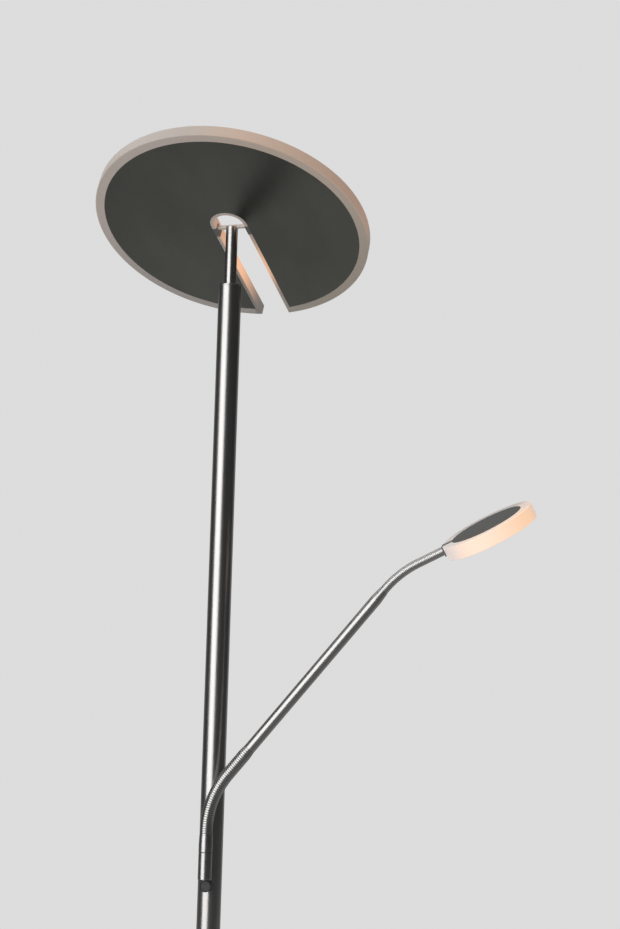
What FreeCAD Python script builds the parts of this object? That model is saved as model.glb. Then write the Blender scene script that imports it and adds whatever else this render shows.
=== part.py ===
import FreeCAD, Part
import math
import os

from FreeCAD import Placement, Rotation, Vector

# Torchiere floor lamp with a slotted tilting disc head and a flexible reading arm.
# Millimetres, +Z up. The origin is the pole's axis at floor level. The front is -Y,
# where the arm block and the two dimmer knobs sit on the pole.

# Clearances
press_gap = 0.02
running_gap = 0.05
panel_gap = 0.15
free_gap = 0.3
on_plane = 1e-6

# Base
floor_pad_thickness = 3.0
floor_pad_radius = 128.0
base_radius = 135.0
base_height = 18.0
cover_wall = 1.2
cover_edge_radius = 6.0
bottom_plate_thickness = 1.2
base_screw_circle = 116.0
base_screw_count = 4
base_screw_start = 45.0
base_screw_radius = 2.0
base_screw_head_radius = 3.4
base_screw_length = 7.0
driver_length = 92.0
driver_width = 42.0
driver_height = 13.0
driver_from_pole = 75.0
driver_room = 2.0
inlet_bore_radius = 3.5
inlet_body_radius = 4.8
inlet_flange_radius = 6.0
inlet_flange_thickness = 1.5
inlet_depth = 8.0
lead_channel_width = 10.0

# Threaded tube that clamps the base to the pole
thread_radius = 5.0
thread_bore_radius = 3.5
nut_across_flats = 17.0
nut_thickness = 5.0
washer_radius = 11.0
washer_thickness = 1.5
nut_room_radius = 15.0
nut_room_depth = 10.3
foot_insert_height = 24.0
tube_end_margin = 2.0

# Pole and stem
hub_height = 1800.0
stem_exposed = 66.0
pole_radius = 12.5
pole_wall = 1.2
pole_split_height = 880.0
joiner_half_length = 30.0
joiner_bore_radius = 6.0
bush_flange_thickness = 2.0
bush_depth = 45.0
bush_edge_radius = 0.5
bush_ledge_thickness = 3.0
bush_ledge_radius = 5.0
stem_radius = 6.5
stem_wall = 1.5
thrust_washer_thickness = 1.0
stem_groove_depth = 0.7
stem_groove_width = 5.0
stem_groove_below_top = 22.0
grub_screw_radius = 2.0
stem_head_drop = 9.0
stem_head_edge_radius = 0.5
stem_spigot_length = 14.0
stem_lead_radius = 1.9
pole_lead_radius = 2.6
driver_lead_radius = 1.4

# Slotted head
head_turn = -9.9
head_tilt = 25.0
head_radius = 152.5
head_thickness = 13.4
head_below_pivot = 4.4
head_rim_width = 10.0
head_edge_radius = 1.0
head_skin = 2.5
slot_half_width = 16.6
slot_wall = 4.4
hole_behind_axle = 7.5
plate_thickness = 1.5
axle_radius = 2.5
axle_bore_radius = 1.2
lug_outer = 34.0
lug_back = 3.6
lug_front = 9.7
lug_top = 4.6
board_thickness = 1.6
board_inner_radius = 42.0
board_outer_radius = 134.0
chip_size = 3.0
chip_height = 0.7
chip_ring_radii = (62.0, 92.0, 122.0)
chip_pitch = 24.0
slot_margin_angle = 8.0
slot_direction = 90.0
small_screw_radius = 1.25
small_screw_head_radius = 2.6
small_screw_head_height = 1.6
lug_screw_margin = 1.0
board_screw_circle = 107.0
board_screw_count = 6

# Arm block and the pieces that hold it on the pole
arm_offset = 24.0
arm_turn = -4.0
block_radius = 7.2
block_height = 27.5
block_edge_radius = 0.6
stub_height = 1104.0
stub_above_block_bottom = 6.5
stub_radius = 4.0
stub_bore_radius = 2.2
stub_engagement = 3.2
spacer_radius = 5.5
stub_nut_across_flats = 11.0
stub_nut_thickness = 3.0
stub_nut_inset = 2.5
seam_height = 0.5
swivel_pin_radius = 4.0
swivel_pin_bore_radius = 2.0
swivel_pin_depth = 14.0
swivel_pin_rise = 6.5
sleeve_radius = 7.3
sleeve_height = 17.5
sleeve_seat_depth = 10.0

# Lower hose, rigid tube and upper hose, in the arm's own upright plane
lower_hose_radius = 6.8
lower_hose_bore_radius = 4.5
lower_rib_pitch = 2.4
lower_rib_depth = 0.55
lower_start_run = 14.0
lower_bend_radius = 92.0
lower_bend_turn = 40.0
lower_end_run = 35.1
tube_radius = 6.0
tube_wall = 1.1
tube_length = 216.7
coupling_reach = 10.0
coupling_bore_radius = 2.3
upper_hose_radius = 4.7
upper_hose_bore_radius = 2.9
upper_rib_pitch = 1.8
upper_rib_depth = 0.4
rib_rise_share = 0.15
rib_crest_share = 0.5
upper_seat_depth = 10.0
upper_start_run = 11.6
upper_bend_radius = 109.0
upper_bend_turn = 23.8
upper_end_run = 28.4
arm_lead_radius = 2.0

# Reading head
reading_twist = 18.9
reading_radius = 50.6
reading_thickness = 15.2
reading_rim_width = 11.2
reading_skin = 2.5
reading_edge_radius = 1.2
reading_plate_thickness = 1.2
reading_tab_width = 12.0
reading_tab_length = 11.0
reading_tab_thickness = 1.2
hose_below_plate = 5.35
hose_screw_reach = 8.0
hose_screw_head_radius = 3.7
hose_screw_head_height = 2.5
hose_screw_bore_radius = 1.4
reading_board_radius = 35.0
reading_board_thickness = 1.2
reading_chip_circle = 23.0
reading_chip_count = 12
reading_screw_circle = 30.0
reading_screw_count = 3
reading_screw_start = 90.0

# Dimmer knobs
knob_radius = 6.2
knob_length = 7.5
knob_edge_radius = 0.7
knob_from_pole = 0.5
knob_front_wall = 1.5
knob_below_block = 7.0
knob_spacing = 60.0
shaft_radius = 2.0
dimmer_neck_radius = 3.6
dimmer_half_width = 6.5
dimmer_front = 9.0
dimmer_back = 3.6
shaft_seat = 6.0

# Levels and radii that follow from the sizes above
cover_top = floor_pad_thickness + base_height
cover_underside = cover_top - cover_wall
weight_bottom = floor_pad_thickness + bottom_plate_thickness
weight_radius = base_radius - cover_edge_radius - free_gap
inlet_height = weight_bottom + inlet_flange_radius + free_gap
nut_room_top = weight_bottom + nut_room_depth
nut_top = nut_room_top - washer_thickness
threaded_tube_bottom = nut_top - nut_thickness - panel_gap
pole_inner_radius = pole_radius - pole_wall
pole_top = hub_height - stem_exposed
bush_body_top = pole_top - bush_flange_thickness
bush_ledge_top = pole_top - bush_depth
stem_bottom = bush_ledge_top + thrust_washer_thickness
stem_inner_radius = stem_radius - stem_wall
stem_top = hub_height - stem_head_drop
head_bottom = -head_below_pivot
head_top = head_bottom + head_thickness
plate_top = head_bottom + plate_thickness
board_top = plate_top + board_thickness
axle_half_length = slot_half_width + slot_wall
nose_middle = slot_half_width + slot_wall / 2
cavity_radius = head_radius - head_rim_width
block_bottom = stub_height - stub_above_block_bottom
block_top = block_bottom + block_height
reading_knob_height = block_bottom - knob_below_block
block_bore_bottom = block_top - swivel_pin_depth - free_gap
sleeve_bottom = block_top + seam_height + running_gap
sleeve_top = sleeve_bottom + sleeve_height
hose_seat = sleeve_top - sleeve_seat_depth
pin_top = sleeve_bottom + swivel_pin_rise
lower_arc = lower_bend_radius * math.radians(lower_bend_turn)
upper_arc = upper_bend_radius * math.radians(upper_bend_turn)
lower_hose_length = lower_start_run + lower_arc + lower_end_run
tube_end = lower_hose_length + tube_length
upper_hose_start = tube_end - upper_seat_depth
tube_run = lower_end_run + tube_length - upper_seat_depth + upper_start_run
reading_top = reading_thickness / 2
reading_cavity_radius = reading_radius - reading_rim_width
hose_axis_level = reading_top - hose_below_plate

# The arm's centre line: runs of (length, turn away from upright in degrees)
arm_runs = (
    (lower_start_run, 0),
    (lower_arc, lower_bend_turn),
    (tube_run, 0),
    (upper_arc, upper_bend_turn),
    (upper_end_run, 0),
)
arm_length = sum(length for length, turn in arm_runs)


def rod(radius, length, base=(0, 0, 0), direction=(0, 0, 1)):
    """Solid cylinder from base along direction."""
    return Part.makeCylinder(radius, length, Vector(*base), Vector(*direction))


def ring(outer_radius, inner_radius, bottom, top):
    """Upright tube about Z between two levels."""
    height = top - bottom
    outer = rod(outer_radius, height, (0, 0, bottom))
    return outer.cut(rod(inner_radius, height, (0, 0, bottom)))


def block(x_span, y_span, z_span):
    """Box between two values on each axis."""
    size = [high - low for low, high in (x_span, y_span, z_span)]
    return Part.makeBox(*size, Vector(x_span[0], y_span[0], z_span[0]))


def hexagon(across_flats, thickness):
    """Hexagonal prism about Z, standing on level zero."""
    corner_radius = across_flats / math.sqrt(3)
    corners = [Vector(x, y, 0) for x, y in circle_points(corner_radius, 6)]
    outline = Part.makePolygon(corners + corners[:1])
    return Part.Face(outline).extrude(Vector(0, 0, thickness))


def round_edges(solid, levels, edge_radius):
    """Fillet the closed edges of an upright solid of revolution at the given levels."""
    edges = [
        edge
        for edge in solid.Edges
        if edge.Closed and any(abs(edge.BoundBox.Center.z - level) < on_plane for level in levels)
    ]
    return solid.makeFillet(edge_radius, edges)


def joined(shapes):
    """One solid from several that touch or overlap."""
    first, *rest = shapes
    return first.fuse(rest).removeSplitter()


def circle_points(radius, count, start=0.0):
    """Points at equal angles on a circle about the origin."""
    angles = [math.radians(start + 360 * k / count) for k in range(count)]
    return [(radius * math.cos(angle), radius * math.sin(angle)) for angle in angles]


# Frames in which the turned and tilted pieces are placed

def turned(shape):
    """The stem's pieces: turned about the pole with the head."""
    return shape.transformed(Placement(Vector(0, 0, 0), Rotation(Vector(0, 0, 1), head_turn)).toMatrix())


def tilted(shape):
    """The head is drawn flat with its pivot at the origin and its slot along +Y."""
    tilt = Rotation(Vector(1, 0, 0), -head_tilt)
    turn = Rotation(Vector(0, 0, 1), head_turn)
    return shape.transformed(Placement(Vector(0, 0, hub_height), turn.multiply(tilt)).toMatrix())


def arm_walk(distance):
    """Reach, height and heading, as an angle from upright, at a distance along the arm."""
    reach, height, heading = 0.0, hose_seat, 0.0
    for length, turn in arm_runs:
        step = min(distance, length)
        if turn:
            curvature = math.radians(turn) / length
            after = heading + curvature * step
            reach += (math.cos(heading) - math.cos(after)) / curvature
            height += (math.sin(after) - math.sin(heading)) / curvature
            heading = after
        else:
            reach += step * math.sin(heading)
            height += step * math.cos(heading)
        distance -= step
        if distance <= 0:
            break
    return reach, height, heading


def arm_plane(reach, height):
    """A point of the arm's upright plane, which passes through the swivel axis."""
    angle = math.radians(arm_turn)
    return Vector(reach * math.cos(angle), reach * math.sin(angle) - arm_offset, height)


def arm_place(distance):
    """Placement whose Z runs along the arm and whose X stays square to the arm's plane."""
    reach, height, heading = arm_walk(distance)
    angle = math.radians(arm_turn)
    sideways = Vector(math.sin(angle), -math.cos(angle), 0)
    along = Vector(
        math.sin(heading) * math.cos(angle), math.sin(heading) * math.sin(angle), math.cos(heading)
    )
    return Placement(arm_plane(reach, height), Rotation(sideways, along.cross(sideways), along, "ZXY"))


def on_arm(shape, distance):
    """Carry a piece drawn about Z to its station on the arm."""
    return shape.transformed(arm_place(distance).toMatrix())


def on_reading_head(shape):
    """The reading head is drawn flat: centre at the origin, plate up, hose from -X.

    It sits on the hose's end turned about the hose, so that its plate looks a little to the front.
    """
    end = arm_place(arm_length)
    along = end.Rotation.multVec(Vector(0, 0, 1))
    twist = Rotation(along, reading_twist)
    sideways = twist.multVec(end.Rotation.multVec(Vector(1, 0, 0)))
    up = sideways.cross(along)
    centre = end.Base + along * (reading_radius + reading_tab_thickness) - up * hose_axis_level
    return shape.transformed(Placement(centre, Rotation(along, sideways * -1, up, "ZXY")).toMatrix())


# Base

def base_cover():
    """Spun steel shell, open below, with the pole's hole and the cord inlet's hole."""
    outer = rod(base_radius, base_height, (0, 0, floor_pad_thickness))
    outer = round_edges(outer, [cover_top], cover_edge_radius)
    inner = rod(base_radius - cover_wall, base_height - cover_wall, (0, 0, floor_pad_thickness))
    inner = round_edges(inner, [cover_underside], cover_edge_radius - cover_wall)
    cover = outer.cut(inner)
    pole_hole = rod(thread_radius + panel_gap, base_height, (0, 0, floor_pad_thickness))
    inlet_start = base_radius - cover_edge_radius
    inlet_hole = rod(inlet_body_radius, 2 * cover_edge_radius, (0, inlet_start, inlet_height), (0, 1, 0))
    return cover.cut([pole_hole, inlet_hole])


def base_weight():
    """Cast disc with a driver pocket, a lead channel, a nut room and blind screw holes."""
    height = cover_underside - weight_bottom
    weight = rod(weight_radius, height, (0, 0, weight_bottom))
    z_span = (weight_bottom, cover_underside)
    half_length = driver_length / 2 + driver_room
    half_width = driver_width / 2 + driver_room
    pocket_span = (driver_from_pole - half_width, driver_from_pole + half_width)
    pocket = block((-half_length, half_length), pocket_span, z_span)
    half_channel = lead_channel_width / 2
    inlet_half = inlet_flange_radius + free_gap
    inlet_channel = block((-inlet_half, inlet_half), (driver_from_pole, base_radius), z_span)
    lead_channel = block(
        (-half_channel, half_channel), (0, driver_from_pole), (weight_bottom, threaded_tube_bottom)
    )
    bore = rod(thread_radius + panel_gap, height, (0, 0, weight_bottom))
    nut_room = rod(nut_room_radius, nut_room_depth, (0, 0, weight_bottom))
    screw_holes = [
        rod(base_screw_radius + press_gap, base_screw_length, (x, y, weight_bottom))
        for x, y in base_screw_points()
    ]
    return weight.cut([pocket, inlet_channel, lead_channel, bore, nut_room] + screw_holes)


def base_screw_points():
    """Places of the screws that hold the bottom plate."""
    return circle_points(base_screw_circle, base_screw_count, base_screw_start)


def base_screw(x, y, gap=0.0):
    """Countersunk screw from below, flush with the bottom plate."""
    head = Part.makeCone(
        base_screw_head_radius + gap,
        base_screw_radius + gap,
        bottom_plate_thickness,
        Vector(x, y, floor_pad_thickness),
    )
    shank = rod(base_screw_radius + gap, base_screw_length - free_gap, (x, y, floor_pad_thickness))
    return joined([head, shank])


def base_screws():
    """Screws that hold the bottom plate to the weight."""
    return Part.makeCompound([base_screw(x, y) for x, y in base_screw_points()])


def bottom_plate():
    """Thin steel plate that closes the cover from below."""
    plate = rod(base_radius - cover_wall - panel_gap, bottom_plate_thickness, (0, 0, floor_pad_thickness))
    return plate.cut([base_screw(x, y, press_gap) for x, y in base_screw_points()])


def floor_pad():
    """Felt disc that the lamp stands on."""
    return rod(floor_pad_radius, floor_pad_thickness)


def driver():
    """Flat power supply that lies in the weight's pocket."""
    return block(
        (-driver_length / 2, driver_length / 2),
        (driver_from_pole - driver_width / 2, driver_from_pole + driver_width / 2),
        (weight_bottom, weight_bottom + driver_height),
    )


def cord_inlet():
    """Rubber grommet in the cover's rear wall, with the cord's bore."""
    outward = (0, 1, 0)
    start = base_radius + inlet_flange_thickness - inlet_depth
    inner_start = base_radius - cover_wall - free_gap - inlet_flange_thickness
    body = rod(inlet_body_radius - press_gap, inlet_depth, (0, start, inlet_height), outward)
    flanges = [
        rod(inlet_flange_radius, inlet_flange_thickness, (0, y, inlet_height), outward)
        for y in (base_radius, inner_start)
    ]
    bore = rod(inlet_bore_radius, inlet_depth, (0, start, inlet_height), outward)
    return joined([body] + flanges).cut(bore)


def threaded_tube():
    """Hollow threaded rod from under the weight into the pole's foot insert."""
    top = cover_top + foot_insert_height + tube_end_margin
    return ring(thread_radius, thread_bore_radius, threaded_tube_bottom, top)


def tube_nut():
    """Hexagon nut under the weight."""
    nut = hexagon(nut_across_flats, nut_thickness)
    nut.translate(Vector(0, 0, nut_top - nut_thickness))
    return nut.cut(rod(thread_radius + press_gap, nut_thickness, (0, 0, nut_top - nut_thickness)))


def tube_washer():
    """Washer between the nut and the weight."""
    return ring(washer_radius, thread_radius + panel_gap, nut_top, nut_room_top)


# Pole

def foot_insert():
    """Turned steel insert in the pole's lower end, threaded on the tube."""
    return ring(
        pole_inner_radius - press_gap, thread_radius + press_gap, cover_top, cover_top + foot_insert_height
    )


def pole_lower():
    """Lower pole section, standing on the base cover."""
    return ring(pole_radius, pole_inner_radius, cover_top, pole_split_height)


def pole_joiner():
    """Spigot inside the joint between the two pole sections."""
    return ring(
        pole_inner_radius - press_gap,
        joiner_bore_radius,
        pole_split_height - joiner_half_length,
        pole_split_height + joiner_half_length,
    )


def pole_upper():
    """Upper pole section with front holes for the arm's stub and the two dimmers."""
    pole = ring(pole_radius, pole_inner_radius, pole_split_height, bush_body_top)
    holes = [rod(stub_radius + press_gap, pole_radius, (0, 0, stub_height), (0, -1, 0))]
    for height in knob_heights():
        holes.append(rod(dimmer_neck_radius + press_gap, pole_radius, (0, 0, height), (0, -1, 0)))
    return pole.cut(holes)


def top_bush():
    """Turned bush that closes the pole's top and guides the stem."""
    flange = rod(pole_radius, bush_flange_thickness, (0, 0, bush_body_top))
    flange = round_edges(flange, [pole_top], bush_edge_radius)
    bush_bottom = bush_ledge_top - bush_ledge_thickness
    body = rod(pole_inner_radius - press_gap, bush_body_top - bush_bottom, (0, 0, bush_bottom))
    guide = rod(stem_radius + running_gap, bush_depth, (0, 0, bush_ledge_top))
    lead_hole = rod(bush_ledge_radius, bush_ledge_thickness, (0, 0, bush_bottom))
    screw_hole = rod(
        grub_screw_radius + press_gap, pole_radius, (0, 0, pole_top - stem_groove_below_top), (0, 1, 0)
    )
    return joined([flange, body]).cut([guide, lead_hole, screw_hole])


def stem_grub_screw():
    """Screw in the bush whose tip runs in the stem's groove."""
    tip = stem_radius - stem_groove_depth + running_gap
    end = pole_inner_radius - free_gap
    return rod(grub_screw_radius, end - tip, (0, tip, pole_top - stem_groove_below_top), (0, 1, 0))


def thrust_washer():
    """Plastic washer on the bush's ledge, under the stem's end."""
    inner_radius = bush_ledge_radius + panel_gap
    return ring(stem_radius - running_gap, inner_radius, bush_ledge_top, stem_bottom - running_gap)


def pole_lead():
    """Lead from the driver through the threaded tube and up the pole."""
    bottom = weight_bottom + panel_gap
    upright = rod(pole_lead_radius, bush_ledge_top - bottom, (0, 0, bottom))
    driver_face = driver_from_pole - driver_width / 2
    level = bottom + driver_lead_radius + free_gap
    across = rod(driver_lead_radius, driver_face - running_gap, (0, 0, level), (0, 1, 0))
    return joined([upright, across])


# Stem, which turns in the pole's bush

def stem():
    """Thin tube between the pole and the head, with a groove for the grub screw."""
    tube = ring(stem_radius, stem_inner_radius, stem_bottom, stem_top)
    groove_bottom = pole_top - stem_groove_below_top - stem_groove_width / 2
    groove_top = groove_bottom + stem_groove_width
    groove = ring(stem_radius + on_plane, stem_radius - stem_groove_depth, groove_bottom, groove_top)
    return tube.cut(groove)


def stem_head():
    """Plug in the stem's top, with a half-round saddle for the cross bar and the lead's bore."""
    head = rod(stem_radius, stem_head_drop, (0, 0, stem_top))
    head = round_edges(head, [hub_height], stem_head_edge_radius)
    spigot_bottom = stem_top - stem_spigot_length
    spigot = rod(stem_inner_radius - press_gap, stem_spigot_length, (0, 0, spigot_bottom))
    saddle = rod(axle_radius + press_gap, 2 * pole_radius, (-pole_radius, 0, hub_height), (1, 0, 0))
    lead_bore = rod(stem_lead_radius + free_gap, hub_height - spigot_bottom, (0, 0, spigot_bottom))
    return turned(joined([head, spigot]).cut([saddle, lead_bore]))


def tilt_axle():
    """Hollow cross bar: fixed across the stem's top, its ends turning in the head's lugs."""
    start = (-axle_half_length, 0, hub_height)
    bar = rod(axle_radius, 2 * axle_half_length, start, (1, 0, 0))
    bore = rod(axle_bore_radius, 2 * axle_half_length, start, (1, 0, 0))
    lead_hole = rod(stem_lead_radius, axle_radius, (0, 0, hub_height), (0, 0, -1))
    return turned(bar.cut([bore, lead_hole]))


def stem_lead():
    """Lead inside the stem, up to the hollow axle."""
    top = hub_height - axle_radius - free_gap
    return rod(stem_lead_radius, top - stem_bottom, (0, 0, stem_bottom))


# Slotted head, drawn flat about its pivot

def keyhole(extra, z_span):
    """Space of the slot along +Y, with its round end behind the axle, grown by extra."""
    half = slot_half_width + extra
    slot = block((-half, half), (-hole_behind_axle, 2 * head_radius), z_span)
    round_end = rod(half, z_span[1] - z_span[0], (0, -hole_behind_axle, z_span[0]))
    return joined([slot, round_end])


def lug_span(side, inner, outer):
    """X range from inner to outer on one side of the slot."""
    return (inner, outer) if side > 0 else (-outer, -inner)


def head_plate():
    """Round steel plate on the underside, cut out for the slot and the lugs' noses."""
    plate = rod(cavity_radius - panel_gap, plate_thickness, (0, 0, head_bottom))
    cuts = [keyhole(slot_wall + panel_gap, (head_bottom, plate_top))]
    for side in (-1, 1):
        nose = slot_half_width + slot_wall + 2 * panel_gap
        cuts.append(
            block(
                lug_span(side, slot_half_width, nose),
                (-lug_back - panel_gap, lug_front + panel_gap),
                (head_bottom, plate_top),
            )
        )
    return tilted(plate.cut(cuts))


def head_diffuser():
    """Frosted tray over the board: top skin, thick rim and the slot's wall."""
    body = rod(head_radius, head_thickness, (0, 0, head_bottom))
    body = round_edges(body, [head_bottom, head_top], head_edge_radius)
    body = body.cut(keyhole(0, (head_bottom, head_top)))
    skin_bottom = head_top - head_skin
    cavity = rod(cavity_radius, skin_bottom - head_bottom, (0, 0, head_bottom))
    cavity = cavity.cut(keyhole(slot_wall, (head_bottom, skin_bottom)))
    cuts = [cavity]
    for side in (-1, 1):
        cuts.append(
            block(
                lug_span(side, 0, lug_outer + free_gap),
                (-lug_back - panel_gap, lug_front + panel_gap),
                (head_bottom, lug_top + panel_gap),
            )
        )
    return tilted(body.cut(cuts))


def hinge_lug(side):
    """Steel lug beside the slot: a nose flush with the plate and a foot on top of it."""
    y_span = (-lug_back, lug_front)
    inner = slot_half_width + panel_gap
    nose = block(lug_span(side, inner, inner + slot_wall), y_span, (head_bottom, lug_top))
    foot = block(lug_span(side, inner, lug_outer), y_span, (plate_top, lug_top))
    bore_length = axle_half_length + running_gap - inner
    bore = rod(axle_radius + running_gap, bore_length, (side * inner, 0, 0), (side, 0, 0))
    lead_bore = rod(axle_bore_radius, lug_outer, (side * inner, 0, 0), (side, 0, 0))
    screw_bore = rod(small_screw_radius + press_gap, lug_front, (side * nose_middle, 0, 0), (0, 1, 0))
    cuts = [bore, lead_bore, screw_bore, lug_screw(side, press_gap)]
    return tilted(joined([nose, foot]).cut(cuts))


def tilt_friction_screws():
    """Set screw in each lug's nose that presses on the cross bar and holds the head's tilt."""
    start = axle_radius + running_gap
    length = lug_front - free_gap - start
    screws = [
        rod(small_screw_radius, length, (side * nose_middle, start, 0), (0, 1, 0)) for side in (-1, 1)
    ]
    return tilted(Part.makeCompound(screws))


def lug_screw(side, gap=0.0):
    """Screw from above that holds a lug's foot on the plate."""
    x = side * (lug_outer - small_screw_head_radius - lug_screw_margin)
    y = (lug_front - lug_back) / 2
    seat = lug_top - small_screw_head_height
    head = rod(small_screw_head_radius + gap, small_screw_head_height, (x, y, seat))
    shank = rod(small_screw_radius + gap, seat - plate_top, (x, y, plate_top))
    return joined([head, shank])


def lug_screws():
    """The two lug screws."""
    return tilted(Part.makeCompound([lug_screw(side) for side in (-1, 1)]))


def led_board():
    """Aluminium ring board on the plate, open at the slot."""
    board = ring(board_outer_radius, board_inner_radius, plate_top, board_top)
    return tilted(board.cut(keyhole(slot_wall + 2 * free_gap, (plate_top, board_top))))


def led_chips():
    """Rings of light-emitting chips on the board, clear of the slot."""
    chips = []
    for radius in chip_ring_radii:
        count = round(2 * math.pi * radius / chip_pitch)
        for k in range(count):
            angle = (k + 0.5) * 360 / count
            half_gap = slot_margin_angle + math.degrees(math.asin(slot_half_width / radius))
            if abs(angle - slot_direction) < half_gap:
                continue
            chip = block(
                (radius - chip_size / 2, radius + chip_size / 2),
                (-chip_size / 2, chip_size / 2),
                (board_top, board_top + chip_height),
            )
            chip.rotate(Vector(0, 0, 0), Vector(0, 0, 1), angle)
            chips.append(chip)
    return tilted(Part.makeCompound(chips))


def board_screws():
    """Pan-head screws that hold the board to the plate's studs."""
    screws = []
    for x, y in circle_points(board_screw_circle, board_screw_count):
        screws.append(rod(small_screw_head_radius, small_screw_head_height, (x, y, board_top)))
    return tilted(Part.makeCompound(screws))


def head_leads():
    """Lead from the axle's open end, beyond each lug's bore, down to the board."""
    leads = []
    for side in (-1, 1):
        start = side * (axle_half_length + running_gap)
        length = board_inner_radius + chip_size - abs(start)
        leads.append(rod(axle_bore_radius - free_gap, length, (start, 0, 0), (side, 0, 0)))
    return tilted(Part.makeCompound(leads))


# Arm block on the pole

def arm_stub():
    """Hollow stub through the pole's front wall into the arm block."""
    inner_end = pole_inner_radius - stub_nut_inset - stub_nut_thickness - free_gap
    outer_end = arm_offset - block_radius + stub_engagement
    stub = rod(stub_radius, outer_end - inner_end, (0, -inner_end, stub_height), (0, -1, 0))
    return stub.cut(rod(stub_bore_radius, outer_end, (0, 0, stub_height), (0, -1, 0)))


def stub_nut():
    """Nut on the stub, inside the pole."""
    nut = hexagon(stub_nut_across_flats, stub_nut_thickness)
    nut = nut.cut(rod(stub_radius + press_gap, stub_nut_thickness))
    front = pole_inner_radius - stub_nut_inset
    return nut.transformed(
        Placement(Vector(0, -front, stub_height), Rotation(Vector(1, 0, 0), -90)).toMatrix()
    )


def arm_spacer():
    """Short collar between the pole and the arm block, saddled to both."""
    length = arm_offset
    collar = rod(spacer_radius, length, (0, 0, stub_height), (0, -1, 0))
    bore = rod(stub_radius + press_gap, length, (0, 0, stub_height), (0, -1, 0))
    reach = 2 * spacer_radius
    pole_room = rod(pole_radius, 2 * reach, (0, 0, stub_height - reach))
    block_room = rod(block_radius, 2 * reach, (0, -arm_offset, stub_height - reach))
    return collar.cut([bore, pole_room, block_room])


def arm_block():
    """Upright round block that carries the arm's swivel pin."""
    body = rod(block_radius, block_top - block_bottom, (0, 0, block_bottom))
    body = round_edges(body, [block_bottom], block_edge_radius)
    body.translate(Vector(0, -arm_offset, 0))
    pin_bore_length = block_top - block_bore_bottom
    pin_bore = rod(
        swivel_pin_radius + running_gap, pin_bore_length, (0, -arm_offset, block_bore_bottom)
    )
    lead_bore = rod(stub_bore_radius, block_top - stub_height, (0, -arm_offset, stub_height))
    stub_start = block_radius - stub_engagement - arm_offset
    stub_bore = rod(stub_radius + press_gap, arm_offset, (0, stub_start, stub_height), (0, 1, 0))
    side_bore = rod(stub_bore_radius, arm_offset, (0, -arm_offset, stub_height), (0, 1, 0))
    return body.cut([pin_bore, lead_bore, stub_bore, side_bore])


def seam_washer():
    """Dark plastic ring in the seam between the block and the turning sleeve."""
    washer = ring(
        block_radius - 2 * free_gap, swivel_pin_radius + running_gap, block_top, block_top + seam_height
    )
    washer.translate(Vector(0, -arm_offset, 0))
    return washer


# Swivelling sleeve, hoses and tube of the arm

def swivel_pin():
    """Hollow pin fixed in the sleeve, turning in the block."""
    pin = ring(swivel_pin_radius, swivel_pin_bore_radius, block_top - swivel_pin_depth, pin_top)
    pin.translate(Vector(0, -arm_offset, 0))
    return pin


def hose_sleeve():
    """Smooth end sleeve of the lower hose, with the pin's bore below and the hose's seat above."""
    body = rod(sleeve_radius, sleeve_height, (0, 0, sleeve_bottom))
    body = round_edges(body, [sleeve_top], block_edge_radius / 2)
    pin_bore = rod(swivel_pin_radius + press_gap, pin_top - sleeve_bottom, (0, 0, sleeve_bottom))
    lead_bore = rod(swivel_pin_bore_radius, sleeve_height, (0, 0, sleeve_bottom))
    seat = rod(lower_hose_radius + press_gap, sleeve_seat_depth, (0, 0, hose_seat))
    sleeve = body.cut([pin_bore, lead_bore, seat])
    sleeve.translate(Vector(0, -arm_offset, 0))
    return sleeve


def arm_circle(radius, distance):
    """Circle about the arm's centre line, starting on its steady sideways axis."""
    circle = Part.Wire(Part.makeCircle(radius))
    circle.transformShape(arm_place(distance).toMatrix())
    return circle


def centre_line(start, end):
    """Wire of the arm's straight runs and tangent arcs between two distances."""
    edges = []
    distance = 0.0
    for length, turn in arm_runs:
        low = max(start, distance)
        high = min(end, distance + length)
        distance += length
        if high - low < on_plane:
            continue
        first, last = arm_place(low).Base, arm_place(high).Base
        if turn:
            middle = arm_place((low + high) / 2).Base
            edges.append(Part.Arc(first, middle, last).toShape())
        else:
            edges.append(Part.LineSegment(first, last).toShape())
    return Part.Wire(edges)


def ribbed_hose(start, length, radius, bore_radius, pitch, depth):
    """Ribbed hose along the arm: four circles a rib, a groove and a crest, then the bore."""
    count = int(length / pitch)
    step = length / count
    crest_end = rib_rise_share + rib_crest_share
    groove = radius - depth
    profile = (
        (0.0, groove),
        (rib_rise_share, radius),
        (crest_end, radius),
        (crest_end + rib_rise_share, groove),
    )
    circles = []
    for rib in range(count):
        for share, rib_radius in profile:
            circles.append(arm_circle(rib_radius, start + (rib + share) * step))
    circles.append(arm_circle(groove, start + length))
    hose = Part.makeLoft(circles, True, True)
    line = centre_line(start, start + length)
    bore = line.makePipeShell([arm_circle(bore_radius, start)], True, False)
    return hose.cut(bore)


def gooseneck_lower():
    """Lower hose, from its seat in the sleeve to the rigid tube."""
    return ribbed_hose(
        0, lower_hose_length, lower_hose_radius, lower_hose_bore_radius, lower_rib_pitch, lower_rib_depth
    )


def gooseneck_upper():
    """Upper hose, from its seat in the rigid tube to the reading head's tab."""
    return ribbed_hose(
        upper_hose_start,
        arm_length - upper_hose_start,
        upper_hose_radius,
        upper_hose_bore_radius,
        upper_rib_pitch,
        upper_rib_depth,
    )


def hose_coupling():
    """Stepped plug that joins the lower hose's bore to the tube's."""
    in_hose = rod(lower_hose_bore_radius - panel_gap, coupling_reach, (0, 0, -coupling_reach))
    in_tube = rod(tube_radius - tube_wall - press_gap, coupling_reach)
    lead_bore = rod(coupling_bore_radius, 2 * coupling_reach, (0, 0, -coupling_reach))
    return on_arm(joined([in_hose, in_tube]).cut(lead_bore), lower_hose_length)


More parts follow.
